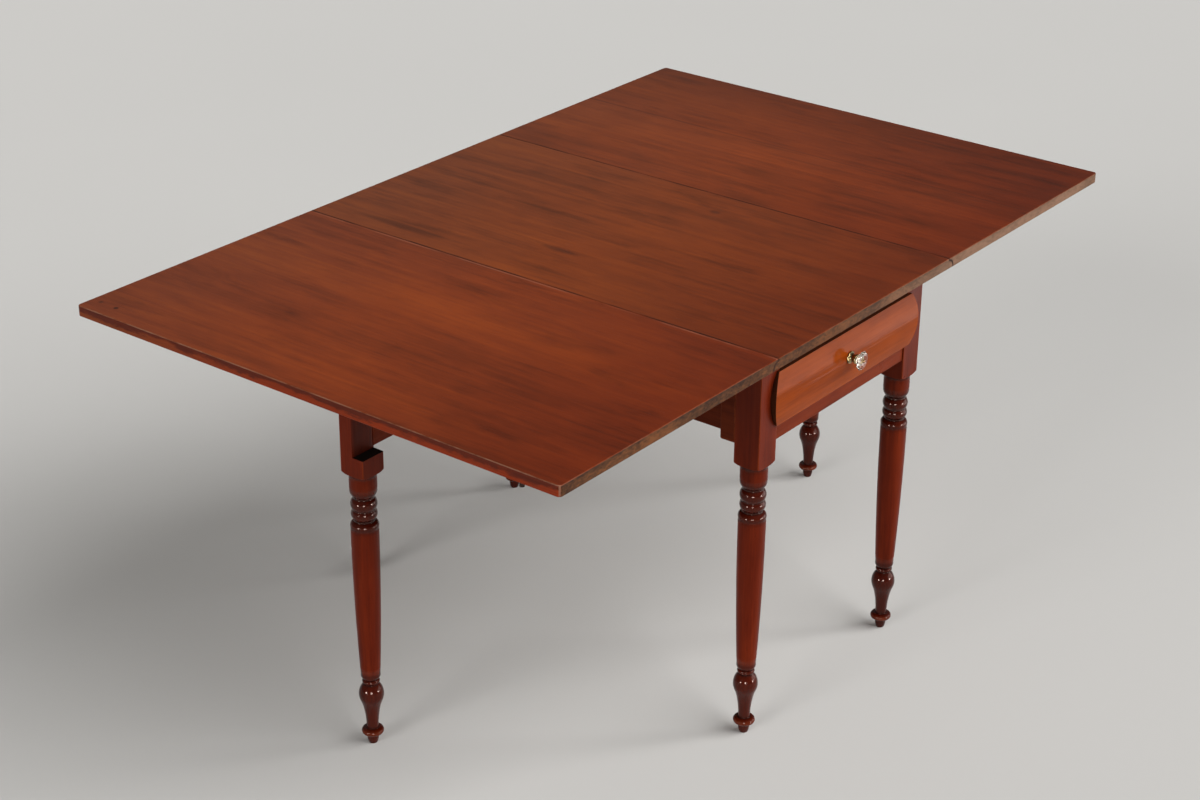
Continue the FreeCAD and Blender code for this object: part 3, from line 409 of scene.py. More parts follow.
# Depths below the upper face between which the ends' darkening thins out
ARRIS_DARK_SPAN = (0.001, 0.009)
SEAM = 0.260
HINGE_HEIGHT = 0.7185
RULE_RADIUS = 0.013
RULE_LINE = 0.0026
RULE_BLUR = 0.0006
LINE_CORE = 0.4
STEP_OVERLAP = 0.001
BOARD_LOW, BOARD_HIGH = (corner.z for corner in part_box("top_center"))


def end_grain_colour(finish):
    """Flecks of cut fibres in broad darker and lighter patches, darker towards the upper arris. The far
    leaf's ends are a lighter, greyer brown."""
    flecks = finish.drawn_out("X", END_FLECKS)
    patches = finish.noise(finish.place(), 9, 3)
    below = finish.math("SUBTRACT", BOARD_HIGH, finish.at("Z"))
    away_from_arris = finish.fade(below, *ARRIS_DARK_SPAN)
    tone = finish.weighted((flecks, 0.52), (patches, 0.42), (away_from_arris, 0.05))
    fresh = finish.ramp(tone, (0.40, END_GRAIN_DARK), (0.50, END_GRAIN_MIDDLE), (0.60, END_GRAIN_LIGHT))
    greyer = finish.ramp(tone, (0.38, GREYER_END_DARK), (0.56, GREYER_END_LIGHT))
    return finish.mix(finish.fade(finish.at("X"), *GREYER_SPAN), fresh, greyer)


def within(finish, apart, reach):
    """1 close to a line and 0 past a reach from it."""
    return finish.fade(finish.math("ABSOLUTE", apart), reach, reach * LINE_CORE)


def from_seam(finish):
    """Distance outwards from the seam on either side."""
    return finish.math("SUBTRACT", finish.math("ABSOLUTE", finish.at("X")), SEAM)


def rule_line(finish):
    """1 along the rule joint as it shows on an end: the step, the quarter circle and the drop below it."""
    aside = from_seam(finish)
    above = finish.math("SUBTRACT", finish.at("Z"), HINGE_HEIGHT)
    squares = finish.math("MULTIPLY_ADD", aside, aside, finish.math("MULTIPLY", above, above))
    from_arc = finish.math("SUBTRACT", finish.math("SQRT", squares), RULE_RADIUS)
    upper = finish.fade(above, 0.0, RULE_BLUR)
    quarter = finish.math("MULTIPLY", upper, finish.fade(aside, 0.0, RULE_BLUR))
    arc = finish.math("MULTIPLY", within(finish, from_arc, RULE_LINE), quarter)
    past_arc = finish.fade(above, RULE_RADIUS - STEP_OVERLAP, RULE_RADIUS)
    step = finish.math("MULTIPLY", within(finish, aside, RULE_LINE), past_arc)
    from_drop = finish.math("SUBTRACT", aside, RULE_RADIUS)
    lower = finish.fade(above, RULE_BLUR, 0.0)
    drop = finish.math("MULTIPLY", within(finish, from_drop, RULE_LINE), lower)
    return finish.math("MAXIMUM", finish.math("MAXIMUM", arc, step), drop)


# %% [markdown]
# ## Edges, seams and worn arrises with a painted highlight
# The long edges are dark red with a bright and patchy band low down, browner towards the back. Dirt lies in
# the seams. The rounded upper arrises and the near leaf's side of its seam have lost their stain in places,
# and their paler colour also paints the highlight that a rounded arris catches. The surface's own normal
# tells the faces apart, so each mark stays where it belongs.

# %% Colour of edges and seams
EDGE_DARK = (0.115, 0.0150, 0.0040)
EDGE_BRIGHT_BAND = (0.270, 0.0300, 0.0036)
EDGE_BRIGHT_BAND_BACK = (0.230, 0.0440, 0.0090)
# Places along the top between which the bright band turns browner
BACK_SPAN = (0.0, 0.45)
BAND_BLOTS = (0.35, 60, 4, 0.65)
BAND_SWAY = 1.8
SEAM_DIRT_REACH = 0.0030
SEAM_PALE_REACH = 0.0024
SEAM_PALE_INSET = 0.0044
# Wear and painted highlight of the upper arrises on the ends, and what is added to it along the sides
END_ARRIS_PALENESS = 0.3
SIDE_ARRIS_PALENESS = 0.6


def seam_dirt(finish):
    """1 on the faces beside a seam, where dust and polish have settled, here more and there less."""
    patchy = finish.fade(finish.noise(finish.place(), 12, 3), 0.25, 0.60)
    return finish.math("MULTIPLY", within(finish, from_seam(finish), SEAM_DIRT_REACH), patchy)


def seam_wear_and_highlight(finish):
    """1 on the near leaf's arris along the seam: stain rubbed off in places, and a painted highlight."""
    inwards = finish.math("ADD", finish.at("X"), SEAM + SEAM_PALE_INSET)
    patchy = finish.fade(finish.noise(finish.place(), 9, 4, 0.6), 0.36, 0.60)
    return finish.math("MULTIPLY", within(finish, inwards, SEAM_PALE_REACH), patchy)


def edge_colour(finish, fibres):
    """Dark red with a patchy bright band along the lower part, browner towards the back."""
    height = finish.math("SUBTRACT", finish.at("Z"), BOARD_LOW)
    share = finish.math("DIVIDE", height, BOARD_HIGH - BOARD_LOW)
    blots = finish.drawn_out("Y", BAND_BLOTS)
    wavy = finish.math("MULTIPLY_ADD", blots, BAND_SWAY, finish.math("SUBTRACT", share, BAND_SWAY / 2))
    bright_band = finish.mix(finish.fade(finish.at("Y"), *BACK_SPAN), opaque(EDGE_BRIGHT_BAND), opaque(EDGE_BRIGHT_BAND_BACK))
    colour = finish.mix(finish.fade(wavy, 0.36, 0.74), bright_band, opaque(EDGE_DARK))
    lines = finish.ramp(fibres, (0.3, (0.70, 0.70, 0.70)), (0.7, (1.0, 1.0, 1.0)))
    return finish.mix(1.0, colour, lines, "MULTIPLY")


def arris_wear_and_highlight(finish):
    """1 where the stain is rubbed off and a highlight is painted: on the rounded upper edges, which face
    neither up nor sideways, and on the upright corners."""
    up = finish.facing("Z")
    rounded = finish.math("MULTIPLY", finish.fade(up, 0.25, 0.45), finish.fade(up, 0.97, 0.86))
    rubbed = finish.fade(finish.noise(finish.place(), 14, 5, 0.7), 0.30, 0.62)
    long_side = finish.fade(finish.math("ABSOLUTE", finish.facing("X")), 0.15, 0.50)
    rubbed = finish.math("MULTIPLY", rubbed, finish.math("MULTIPLY_ADD", long_side, SIDE_ARRIS_PALENESS, END_ARRIS_PALENESS))
    corner = finish.math("ABSOLUTE", finish.math("MULTIPLY", finish.facing("X"), finish.facing("Y")))
    return finish.math("MULTIPLY", finish.math("MAXIMUM", rounded, finish.fade(corner, 0.42, 0.49)), rubbed)


# %% [markdown]
# ## The finish of a whole board
# Each face's colour is laid over the one before: the stained face with its seams, the long edges, the ends
# with their joint line, the worn arrises with their painted highlight, and last the underside, which nobody
# varnished. The polish is smoothest on top and dull elsewhere. A shift moves each board's figure, so that no
# two are alike.

# %% Top boards
BARE_LIGHT = (0.150, 0.075, 0.035)
BARE_DARK = (0.070, 0.034, 0.017)
# Colours of rubbed stain and painted highlight on the arrises and on the near leaf's side of the seam
ARRIS_WEAR_AND_HIGHLIGHT = (0.27, 0.13, 0.08)
SEAM_WEAR_AND_HIGHLIGHT = (0.27, 0.085, 0.045)
SEAM_STRENGTH = 0.8
RULE_DARKNESS = 0.95
TOP_GLOSS = 0.10
TOP_ROUGHNESS = (0.26, 0.40)
BARE_DULLNESS = 0.35
NEAR_LEAF_SHIFT = (0.31, 0.2, 0.1)
CENTRE_SHIFT = (1.7, 0.9, 0.4)
FAR_LEAF_SHIFT = (4.1, 2.3, 0.8)


def board_wood(name, tones, shift, streak=None, joint=None, marks=()):
    """A board of the top with all its faces."""
    finish = Finish(name)
    colour, fibres, pores = face_colour(finish, tones, shift, streak, joint, marks)
    up = finish.facing("Z")
    dirty = finish.math("MULTIPLY", seam_dirt(finish), finish.fade(up, 0.5, 0.9))
    colour = finish.over(colour, DIRT, dirty, SEAM_STRENGTH)
    # Worn seam arris, whose pale colour also paints a highlight
    colour = finish.over(colour, SEAM_WEAR_AND_HIGHLIGHT, seam_wear_and_highlight(finish), SEAM_STRENGTH)
    side = finish.fade(finish.math("ABSOLUTE", finish.facing("X")), 0.60, 0.85)
    colour = finish.mix(side, colour, edge_colour(finish, fibres))
    end = finish.fade(finish.math("ABSOLUTE", finish.facing("Y")), 0.75, 0.95)
    cut = finish.over(end_grain_colour(finish), DIRT, rule_line(finish), RULE_DARKNESS)
    colour = finish.mix(end, colour, cut)
    # Worn arrises, whose pale colour also paints a highlight
    colour = finish.mix(arris_wear_and_highlight(finish), colour, opaque(ARRIS_WEAR_AND_HIGHLIGHT))
    under = finish.fade(up, -0.80, -0.95)
    colour = finish.mix(under, colour, finish.ramp(fibres, (0.35, BARE_DARK), (0.65, BARE_LIGHT)))
    smear = finish.noise(finish.place(), 6, 4, 0.6)
    polished = finish.between(smear, *TOP_ROUGHNESS)
    rough = finish.math("MULTIPLY_ADD", finish.math("MAXIMUM", under, end), BARE_DULLNESS, polished)
    height = finish.weighted((fibres, 0.6), (pores, -0.5), (smear, 1.5))
    return finish.shade(colour, rough, finish.bump(height, GRAIN_DEPTH), Specular_IOR_Level=TOP_GLOSS)


near_leaf_wood = board_wood(
    "near_leaf_wood", NEAR_LEAF_TONES, NEAR_LEAF_SHIFT, streak=LIGHT_STREAK, marks=NEAR_LEAF_PLUGS
)
give(near_leaf_wood, "leaf_left")
give(board_wood("centre_wood", CENTRE_TONES, CENTRE_SHIFT, marks=CENTRE_KNOTS), "top_center")
give(board_wood("far_leaf_wood", FAR_LEAF_TONES, FAR_LEAF_SHIFT, joint=FAR_JOINT), "leaf_right")

# %% [markdown]
# ## Meshes from grids of points
# A turned leg or a knob can be described by two numbers: how far along it and how far round it. Computing
# every point of such a grid at once gives a clean mesh, and its rows can be set close together where the
# shape turns quickly. Quads join each row to the next, and flat caps close the ends.

# %% Grid meshes
SMOOTH_LIMIT = math.radians(38)


def grid_faces(rows, columns):
    """Quads between each row and the next. The last column is joined to the first."""
    row, column = np.meshgrid(np.arange(rows - 1), np.arange(columns), indexing="ij")
    following = (column + 1) % columns
    corners = [(row, column), (row, following), (row + 1, following), (row + 1, column)]
    return np.stack([r * columns + c for r, c in corners], axis=-1).reshape(-1, 4)


def add_piece(name, mesh, material, body, replaced):
    """Show a mesh as a smooth piece that rides on a body and stands for a solid."""
    mesh.polygons.foreach_set("use_smooth", np.ones(len(mesh.polygons), dtype=bool))
    mesh.set_sharp_from_angle(angle=SMOOTH_LIMIT)
    mesh.materials.clear()
    mesh.materials.append(material)
    piece = bpy.data.objects.new(name, mesh)
    bpy.context.scene.collection.objects.link(piece)
    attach(piece, body)
    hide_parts(replaced)
    return piece


def round_mesh(name, points):
    """A closed mesh over rows of points that run round an axis, anticlockwise seen from the last row."""
    rows, columns, _ = points.shape
    ring = np.arange(columns)
    faces = grid_faces(rows, columns).tolist()
    faces.append(ring[::-1].tolist())
    faces.append((ring + (rows - 1) * columns).tolist())
    mesh = bpy.data.meshes.new(name)
    mesh.from_pydata(points.reshape(-1, 3).tolist(), [], faces)
    return mesh


# %% [markdown]
# ## The outline of a turned leg
# The turner started from a square blank, left its head square and cut the rest round: a foot peg, a ring,
# a long vase, a tapered shaft with a little swell, two fat beads between grooves, and a plain neck. Each
# stretch of the outline is a straight line or an arc between two corners. Sandpaper softens the corners,
# so the finished outline is blurred by about half a millimetre. Rows crowd together where it bends.

# %% Leg outline
# Diameter and height of each corner, and how far the stretch above it swells outwards, in millimetres
TURNING = np.array([
    (4.0, 0.0, 0.0),
    (14.6, 0.0, 0.6),
    (20.0, 13.0, 0.0),
    (20.0, 18.0, 0.0),
    (26.6, 18.0, 5.6),
    (26.6, 30.0, 0.0),
    (20.4, 30.0, 0.0),
    (20.4, 37.0, -0.8),
    (29.0, 72.0, -0.3),
    (38.4, 86.0, 5.0),
    (24.4, 118.5, 2.8),
    (24.4, 127.0, 1.8),
    (33.0, 137.0, 1.7),
    (46.6, 417.0, 2.6),
    (35.4, 429.0, 0.0),
    (35.4, 432.0, 3.3),
    (38.6, 449.0, 0.0),
    (38.6, 450.6, 3.6),
    (35.4, 470.6, 0.0),
    (35.4, 473.6, 1.4),
    (45.8, 485.0, 0.0),
    (45.8, 516.0, 2.2),
    (73.5, 522.0, 0.0),
])
NECK_START = TURNING[-3, 1]
OUTLINE_STEP = 0.25
NEARLY_STRAIGHT = 1e-6
SANDING = 0.45
BELL_WIDTHS = 3
LEG_ROWS = 210
ROW_DENSITY = 0.035
HOLLOW_REACH = 5.0
# Bend of the outline in radians to the millimetre
BENDING_LIMIT = 0.25
BENDING_FULL = 0.060
BENDING_REACH = 4.5
SHAFT_START = 134.0


def arc_stretch(start, end, rise):
    """Points from one corner to the next on an arc that stands off its chord by a rise.
    An arc of half angle a has a radius of half the chord over sin a, and tan(a/2) is twice the rise
    over the chord. A very small rise stands for a straight line."""
    chord = end - start
    span = np.hypot(*chord)
    along = chord / span
    outwards = np.array([along[1], -along[0]])
    half_angle = 2 * math.atan(2 * (rise or NEARLY_STRAIGHT) / span)
    radius = span / (2 * math.sin(half_angle))
    turn = half_angle * np.linspace(-1, 1, max(int(span / OUTLINE_STEP), 2))
    forward = radius * np.sin(turn) + span / 2
    aside = radius * (np.cos(turn) - math.cos(half_angle))
    return start + forward[:, None] * along + aside[:, None] * outwards


def blurred(values, width):
    """Values averaged with their neighbours under a bell curve of a width in millimetres."""
    reach = int(BELL_WIDTHS * width / OUTLINE_STEP)
    bell = np.exp(-0.5 * (np.arange(-reach, reach + 1) * OUTLINE_STEP / width) ** 2)
    return np.convolve(np.pad(values, reach, mode="edge"), bell / bell.sum(), mode="valid")


def leg_outline():
    """Radius, height and hollowness of each row in millimetres, and its shapeliness: 1 on beads and vases
    and 0 along a straight shaft. Rows are spaced by length plus the angle turned."""
    corners = TURNING[:, :2] * (0.5, 1.0)
    stretches = [arc_stretch(a, b, rise) for a, b, rise in zip(corners[:-1], corners[1:], TURNING[:-1, 2])]
    dense = np.concatenate(stretches)
    travel = np.concatenate([[0], np.cumsum(np.hypot(*np.diff(dense, axis=0).T))])
    even = np.arange(0, travel[-1], OUTLINE_STEP)
    sharp_radius = np.interp(even, travel, dense[:, 0])
    radius = blurred(sharp_radius, SANDING)
    height = blurred(np.interp(even, travel, dense[:, 1]), SANDING)
    hollow = blurred(sharp_radius, HOLLOW_REACH) - radius
    heading = np.unwrap(np.arctan2(np.gradient(height), np.gradient(radius)))
    bending = np.abs(np.gradient(heading)) / OUTLINE_STEP
    shapely = np.clip(blurred(np.minimum(bending, BENDING_LIMIT), BENDING_REACH) / BENDING_FULL, 0, 1)
    shapely = np.where(height < SHAFT_START, 1.0, shapely)
    crowding = np.cumsum((bending + ROW_DENSITY) * OUTLINE_STEP)
    rows = np.interp(np.linspace(crowding[0], crowding[-1], LEG_ROWS), crowding, np.arange(len(even)))
    return [np.interp(rows, np.arange(len(even)), values) for values in (radius, height, hollow, shapely)]


leg_radius, leg_height, leg_hollow, leg_shapely = leg_outline()
widest = 2 * leg_radius[leg_height < NECK_START].max()
print("leg outline:", len(leg_radius), "rows, widest diameter below the neck", round(widest, 1), "mm")

# %% [markdown]
# ## Varnish on the legs
# The legs are darker than the rails. Their beads and vases came smooth off the lathe and carry a thicker
# varnish, which shines more than the plain parts. Two attributes, set for every point of a leg, tell the
# finish where it is. The patina and shade is above zero in hollows, where old polish gathers, and on the
# recessed faces of the swing legs' heads, where it is painted shade. It is below zero on crests and
# arrises, where the stain is rubbed thin. The other is 1 on shapely parts and 0 along a straight shaft.

# %% Leg finish
LEG_TONES = ((0.066, 0.0066, 0.0020), (0.120, 0.0124, 0.0030), (0.180, 0.0216, 0.0046))
LATHE_VARNISH = (0.42, 0.34, 0.36)
# Near black of old polish in the grooves, also painted shade on the swing legs' recessed faces
GROOVE_AND_SHADE_BLACK = (0.016, 0.005, 0.004)
RUBBED_LEG = (0.26, 0.042, 0.010)
PATINA_AND_SHADE_STRENGTH = 0.8
LEDGE_BLACK = (0.010, 0.007, 0.006)
LEDGE_DULLNESS = 0.5
# Heights between which a face that looks up is taken for a ledge
LEDGE_SPAN = (0.53, 0.54)
LEG_GRAIN_DEPTH = 0.0001
# Gloss, then the least and the greatest roughness
PLAIN_LEG_SHEEN = (0.08, (0.24, 0.40))
BEAD_SHEEN = (0.28, (0.07, 0.14))


def leg_wood(name, gloss, roughness):
    """Dark red, with thicker and darker varnish on the turned beads and vases. Old polish blackens the
    grooves, painted shade darkens the recessed faces of the swing legs' heads alike, the swing legs' ledges
    are near black, and the arrises are rubbed lighter."""
    finish = Finish(name)
    tone, fibres, pores = figure(finish, "Z")
    colour = wood_colour(finish, LEG_TONES, tone, pores)
    shapely = finish.add("Attribute", attribute_name="shapely").outputs["Fac"]
    colour = finish.mix(shapely, colour, opaque(LATHE_VARNISH), "MULTIPLY")
    patina_and_shade = finish.add("Attribute", attribute_name="patina_and_shade").outputs["Fac"]
    # Old polish in the grooves, and painted shade on the swing legs' recessed faces
    colour = finish.over(colour, GROOVE_AND_SHADE_BLACK, finish.fade(patina_and_shade, 0.2, 2.0), PATINA_AND_SHADE_STRENGTH)
    patchy = finish.math("MULTIPLY", finish.fade(patina_and_shade, -0.5, -2.4), finish.noise(finish.place(), 60, 3))
    colour = finish.over(colour, RUBBED_LEG, patchy, PATINA_AND_SHADE_STRENGTH)
    level = finish.fade(finish.at("Z"), *LEDGE_SPAN)
    ledge = finish.math("MULTIPLY", finish.fade(finish.facing("Z"), 0.8, 0.95), level)
    colour = finish.mix(ledge, colour, opaque(LEDGE_BLACK))
    rough = finish.between(finish.noise(finish.place(), 22, 3), *roughness)
    rough = finish.math("MULTIPLY_ADD", ledge, LEDGE_DULLNESS, rough)
    bump = finish.bump(finish.weighted((fibres, 0.5), (pores, -0.4)), LEG_GRAIN_DEPTH)
    return finish.shade(colour, rough, bump, Specular_IOR_Level=gloss, Specular_Tint=REDDISH_GLOSS)


plain_leg_wood = leg_wood("leg_varnish", *PLAIN_LEG_SHEEN)
bead_leg_wood = leg_wood("leg_bead_varnish", *BEAD_SHEEN)

# %% [markdown]
# ## The six legs
# Round and square meet in one formula: at each height and angle the leg is as wide as the turning or as
# the square blank, whichever is less. That draws the curved shoulders under the square head by itself. The
# blank is four sides, each at its own distance from the axis, and a high power mean rounds their arrises.
# On the two swing legs one side steps in above a notch, where the closed leg fits over the inner rail, and
# that sheltered face is darkened as the grooves are: painted shade.

# %% Leg surfaces
LEG_COLUMNS = 160
CORNER_CROWDING = 0.15
ARRIS_POWER = 44
HALF_SQUARE = 24.5
NOTCH_SIDE = 2.5
NOTCH_FLOOR = 550.5
SHELTERED_SHARE = 0.98
# Value on the recessed face above the notch: painted shade, darkened like a groove
SHELTERED_PAINTED_SHADE = 1.15
ARRIS_RUB = 3.0
ARRIS_DEGREES = 2.4
GLOSSY_FROM = 0.3
SIDE_ANGLES = np.radians([0, 90, 180, 270])
SQUARE_SIDES = np.array([HALF_SQUARE] * 4)
NOTCHED_SIDES = np.array([NOTCH_SIDE, HALF_SQUARE, HALF_SQUARE, HALF_SQUARE])


def column_angles():
    """Angles round a leg, closer together near the four arrises."""
    even = np.linspace(0, 2 * np.pi, LEG_COLUMNS, endpoint=False)
    return even + CORNER_CROWDING * np.sin(4 * even)


def blank_radius(angle, sides):
    """Distance from the axis to a section with four sides and softly rounded arrises."""
    towards = np.maximum(np.cos(angle - SIDE_ANGLES[:, None]), 0) / sides[:, None]
    return (towards**ARRIS_POWER).sum(axis=0) ** (-1 / ARRIS_POWER)


def arris_rub(angle):
    """Below zero along the four arrises: a bell curve of the angle from the nearest one."""
    from_arris = np.degrees(angle) % 90 - 45
    return -ARRIS_RUB * np.exp(-((from_arris / ARRIS_DEGREES) ** 2))


def leg_rows(top, notched):
    """Angle of each column, then radius, height, and patina and painted shade of every point of a leg about
    its own axis, in millimetres."""
    angle = column_angles()
    square = blank_radius(angle, SQUARE_SIDES)
    radius = np.minimum(leg_radius[:, None], square)
    height = np.repeat(leg_height[:, None], len(angle), axis=1)
    rub = arris_rub(angle)
    patina_and_shade = np.where(leg_radius[:, None] < square, leg_hollow[:, None], rub)
    head = [(square, top, rub)]
    if notched:
        narrow = blank_radius(angle, NOTCHED_SIDES)
        # Painted shade on the recessed face above the notch
        sheltered = np.where(narrow < SHELTERED_SHARE * square, SHELTERED_PAINTED_SHADE, rub)
        head = [(square, NOTCH_FLOOR, rub), (narrow, NOTCH_FLOOR, sheltered), (narrow, top, sheltered)]
    for section, level, wear in head:
        radius = np.vstack([radius, section])
        height = np.vstack([height, np.full(len(angle), level)])
        patina_and_shade = np.vstack([patina_and_shade, wear])
    return angle, radius, height, patina_and_shade


def build_leg(node, turn=0.0, notched=False):
    """Stand a leg on the axis of its solid, turned as its gate is. Its shapely faces are glossy."""
    low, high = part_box(node)
    axis = (low + high) / 2
    angle, radius, height, patina_and_shade = leg_rows(high.z / MM, notched)
    x = axis.x + MM * radius * np.cos(angle + turn)
    y = axis.y + MM * radius * np.sin(angle + turn)
    mesh = round_mesh(node, np.stack([x, y, MM * height], axis=-1))
    shapely = np.zeros_like(patina_and_shade)
    shapely[: len(leg_shapely)] = leg_shapely[:, None] * (radius[: len(leg_shapely)] < HALF_SQUARE)
    for attribute, values in (("patina_and_shade", patina_and_shade), ("shapely", shapely)):
        mesh.attributes.new(attribute, "FLOAT", "POINT").data.foreach_set("value", values.ravel())
    add_piece(node + "_turned", mesh, plain_leg_wood, nodes[node]["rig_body"], node)
    mesh.materials.append(bead_leg_wood)
    glossy_faces = np.zeros(len(mesh.polygons), dtype=np.int32)
    glossy_faces[: shapely[:-1].size] = shapely[:-1].ravel() > GLOSSY_FROM
    mesh.polygons.foreach_set("material_index", glossy_faces)


gate_ajar = -next(joint["range_deg"][0] for joint in frame["joints"] if joint["name"] == "gate_right_swing")
for leg in ("leg_front_left", "leg_front_right", "leg_back_left", "leg_back_right"):
    build_leg(leg)
build_leg("swing_leg_left", math.radians(-90), notched=True)
build_leg("swing_leg_right", math.radians(90 + gate_ajar), notched=True)
print("six legs of", LEG_ROWS * LEG_COLUMNS, "points")

# %% [markdown]
# ## Rails and the drawer's boards
# These are planed boards with joints cut into them, and the solids already have those shapes. What the
# solids lack is the soft arris that a plane and long use give. A copy of each solid gets its loose
# triangles merged and a narrow rounded bevel on every edge, which catches the light as a real edge does.

# %% Softened boards
ARRIS_WIDTH = 0.9
ARRIS_SEGMENTS = 2
RUBBED_INDEX = 1
FLAT_LIMIT = math.radians(1.0)
MERGE_DISTANCE = 1e-6


def merged_copy(node):
    """A copy of a solid's mesh, merged, with the triangles of each flat face made one face."""
    mesh = nodes[node].data.copy()
    work = bmesh.new()
    work.from_mesh(mesh)
    bmesh.ops.remove_doubles(work, verts=work.verts, dist=MERGE_DISTANCE)
    bmesh.ops.dissolve_limit(work, angle_limit=FLAT_LIMIT, verts=work.verts, edges=work.edges)
    work.to_mesh(mesh)
    work.free()
    return mesh


def soften(material, rubbed, slot, *names, width=ARRIS_WIDTH):
    """Show solids with rounded arrises in a rubbed finish of their own."""
    for node in names:
        body = nodes[node]["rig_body"]
        piece = add_piece(node + "_softened", merged_copy(node), material, body, node)
        piece.data.materials.append(rubbed)
        bevel = piece.modifiers.new("arris", "BEVEL")
        bevel.material = RUBBED_INDEX
        bevel.harden_normals = True
        bevel.width = width * MM
        bevel.segments = ARRIS_SEGMENTS
        bevel.limit_method = "ANGLE"
        bevel.angle_limit = SMOOTH_LIMIT
    print(material.name, "on", ", ".join(names))


# %% [markdown]
# ## Woods of the rails and the drawer
# The rails are varnished like the legs. The drawer front is the brightest wood on the table, with a dark
# rim where it faces sideways or up: its end grain is darker, and the rim also paints the shade in the gaps
# round it. The rest of the drawer, its runners and kickers and the glue blocks are a paler wood that was
# never varnished. The arrises of all these boards are rubbed lighter.

# %% Rails and drawer
RAIL_TONES = ((0.088, 0.0110, 0.0030), (0.155, 0.0205, 0.0046), (0.222, 0.0340, 0.0070))
SIDE_TONES = ((0.060, 0.0090, 0.0032), (0.108, 0.0165, 0.0048), (0.158, 0.0270, 0.0068))
DRAWER_TONES = ((0.176, 0.0272, 0.0024), (0.264, 0.0440, 0.0034), (0.330, 0.0596, 0.0050))
SECONDARY_TONES = ((0.110, 0.060, 0.027), (0.210, 0.125, 0.061), (0.300, 0.195, 0.102))
RUBBED_RAIL = (0.30, 0.060, 0.017)
RUBBED_FRONT = (0.34, 0.095, 0.027)
RUBBED_BARE = (0.36, 0.25, 0.14)
# Dark end grain of the drawer front, with painted shade on its faces that look sideways or up
FRONT_RIM_AND_SHADE = (0.060, 0.018, 0.008)
FRONT_ARRIS = 1.4
RAIL_SHEEN = (0.05, (0.22, 0.36))
FRONT_SHEEN = (0.05, (0.09, 0.16))
BARE_SHEEN = (0.12, (0.65, 0.8))


def wood_pair(name, grain, tones, rubbed, sheen, rim_and_shade=None):
    """A finish for the faces of boards and the same with its stain rubbed for their arrises."""
    faces = varnished_wood(name, grain, tones, *sheen, rim_and_shade=rim_and_shade)
    return faces, varnished_wood(name + "_rubbed", grain, tones, *sheen, rubbed)


crosswise_rail = wood_pair("crosswise_rail_varnish", "X", RAIL_TONES, RUBBED_RAIL, RAIL_SHEEN)
lengthwise_rail = wood_pair("lengthwise_rail_varnish", "Y", SIDE_TONES, RUBBED_RAIL, RAIL_SHEEN)
drawer_face = wood_pair("drawer_front_varnish", "X", DRAWER_TONES, RUBBED_FRONT, FRONT_SHEEN, FRONT_RIM_AND_SHADE)
lengthwise_bare = wood_pair("lengthwise_bare_wood", "Y", SECONDARY_TONES, RUBBED_BARE, BARE_SHEEN)
crosswise_bare = wood_pair("crosswise_bare_wood", "X", SECONDARY_TONES, RUBBED_BARE, BARE_SHEEN)
soften(*crosswise_rail, "rail_wood", "front_lower_rail", "front_upper_rail", "back_rail")
soften(*crosswise_rail, "rail_wood", "fly_rail_left", "fly_rail_right")
for board in ("side_rail", "outer_rail", "stop_block"):
    soften(*lengthwise_rail, "rail_wood", board + "_left", board + "_right")
soften(*drawer_face, "drawer_front_wood", "drawer_front", width=FRONT_ARRIS)
for board in ("drawer_side", "drawer_runner", "drawer_kicker"):
    soften(*lengthwise_bare, "secondary_wood", board + "_left", board + "_right")
soften(*crosswise_bare, "secondary_wood", "drawer_back", "drawer_bottom", "glue_blocks")

# %% [markdown]
# ## The glass knob
# A pressed glass disc sits on a small brass ferrule. A bolt with a small round head runs through both, and
# a nut holds it inside the drawer. The mould left twelve flutes round the rim that run out towards the
# middle. Each outline is turned about the knob's axis, and on the glass the flutes take a share off the
# radius that rises and falls with the angle.

# %% Knob shapes
KNOB_COLUMNS = 144
KNOB_ROWS = 90
KNOB_FLUTES = 12
FLUTE_SHARE = 0.11
FLUTE_START = 5.0
CORNER_CUTS = 2
# Radius and distance from the drawer front of each corner, in millimetres
GLASS_OUTLINE = [
    (5.6, 14.6), (6.9, 15.0), (6.4, 17.0), (7.4, 18.6), (13.5, 20.2), (16.3, 21.8), (16.5, 23.0),
    (15.6, 24.8), (13.0, 26.0), (9.0, 26.4), (5.4, 26.0), (4.0, 25.7), (2.7, 25.7),
]
ROSE_OUTLINE = [
    (2.7, 0.1), (10.4, 0.1), (11.0, 0.8), (10.8, 1.9), (8.6, 2.9), (7.2, 4.2), (6.4, 6.4),
    (6.4, 8.2), (7.4, 9.8), (8.3, 11.0), (8.3, 12.6), (7.4, 13.9), (6.4, 14.4), (2.7, 14.4),
]
BOLT_OUTLINE = [(2.4, 25.0), (3.5, 25.8), (3.4, 26.7), (2.4, 27.7), (1.0, 28.2), (0.3, 28.25)]
knob_low, knob_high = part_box("knob_glass")
KNOB_AXIS = ((knob_low + knob_high) / 2).z
KNOB_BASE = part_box("knob_rose")[1].y


def rounded_outline(corners):
    """Many points along an outline whose corners are rounded off by passes of corner cutting.
    Each pass puts two points on every edge, a quarter and three quarters along it."""
    points = np.array(corners)
    for _ in range(CORNER_CUTS):
        near_start = 0.75 * points[:-1] + 0.25 * points[1:]
        near_end = 0.25 * points[:-1] + 0.75 * points[1:]
        inner = np.stack([near_start, near_end], axis=1).reshape(-1, 2)
        points = np.concatenate([points[:1], inner, points[-1:]])
    travel = np.concatenate([[0], np.cumsum(np.hypot(*np.diff(points, axis=0).T))])
    even = np.linspace(0, travel[-1], KNOB_ROWS)
    return np.interp(even, travel, points[:, 0]), np.interp(even, travel, points[:, 1])


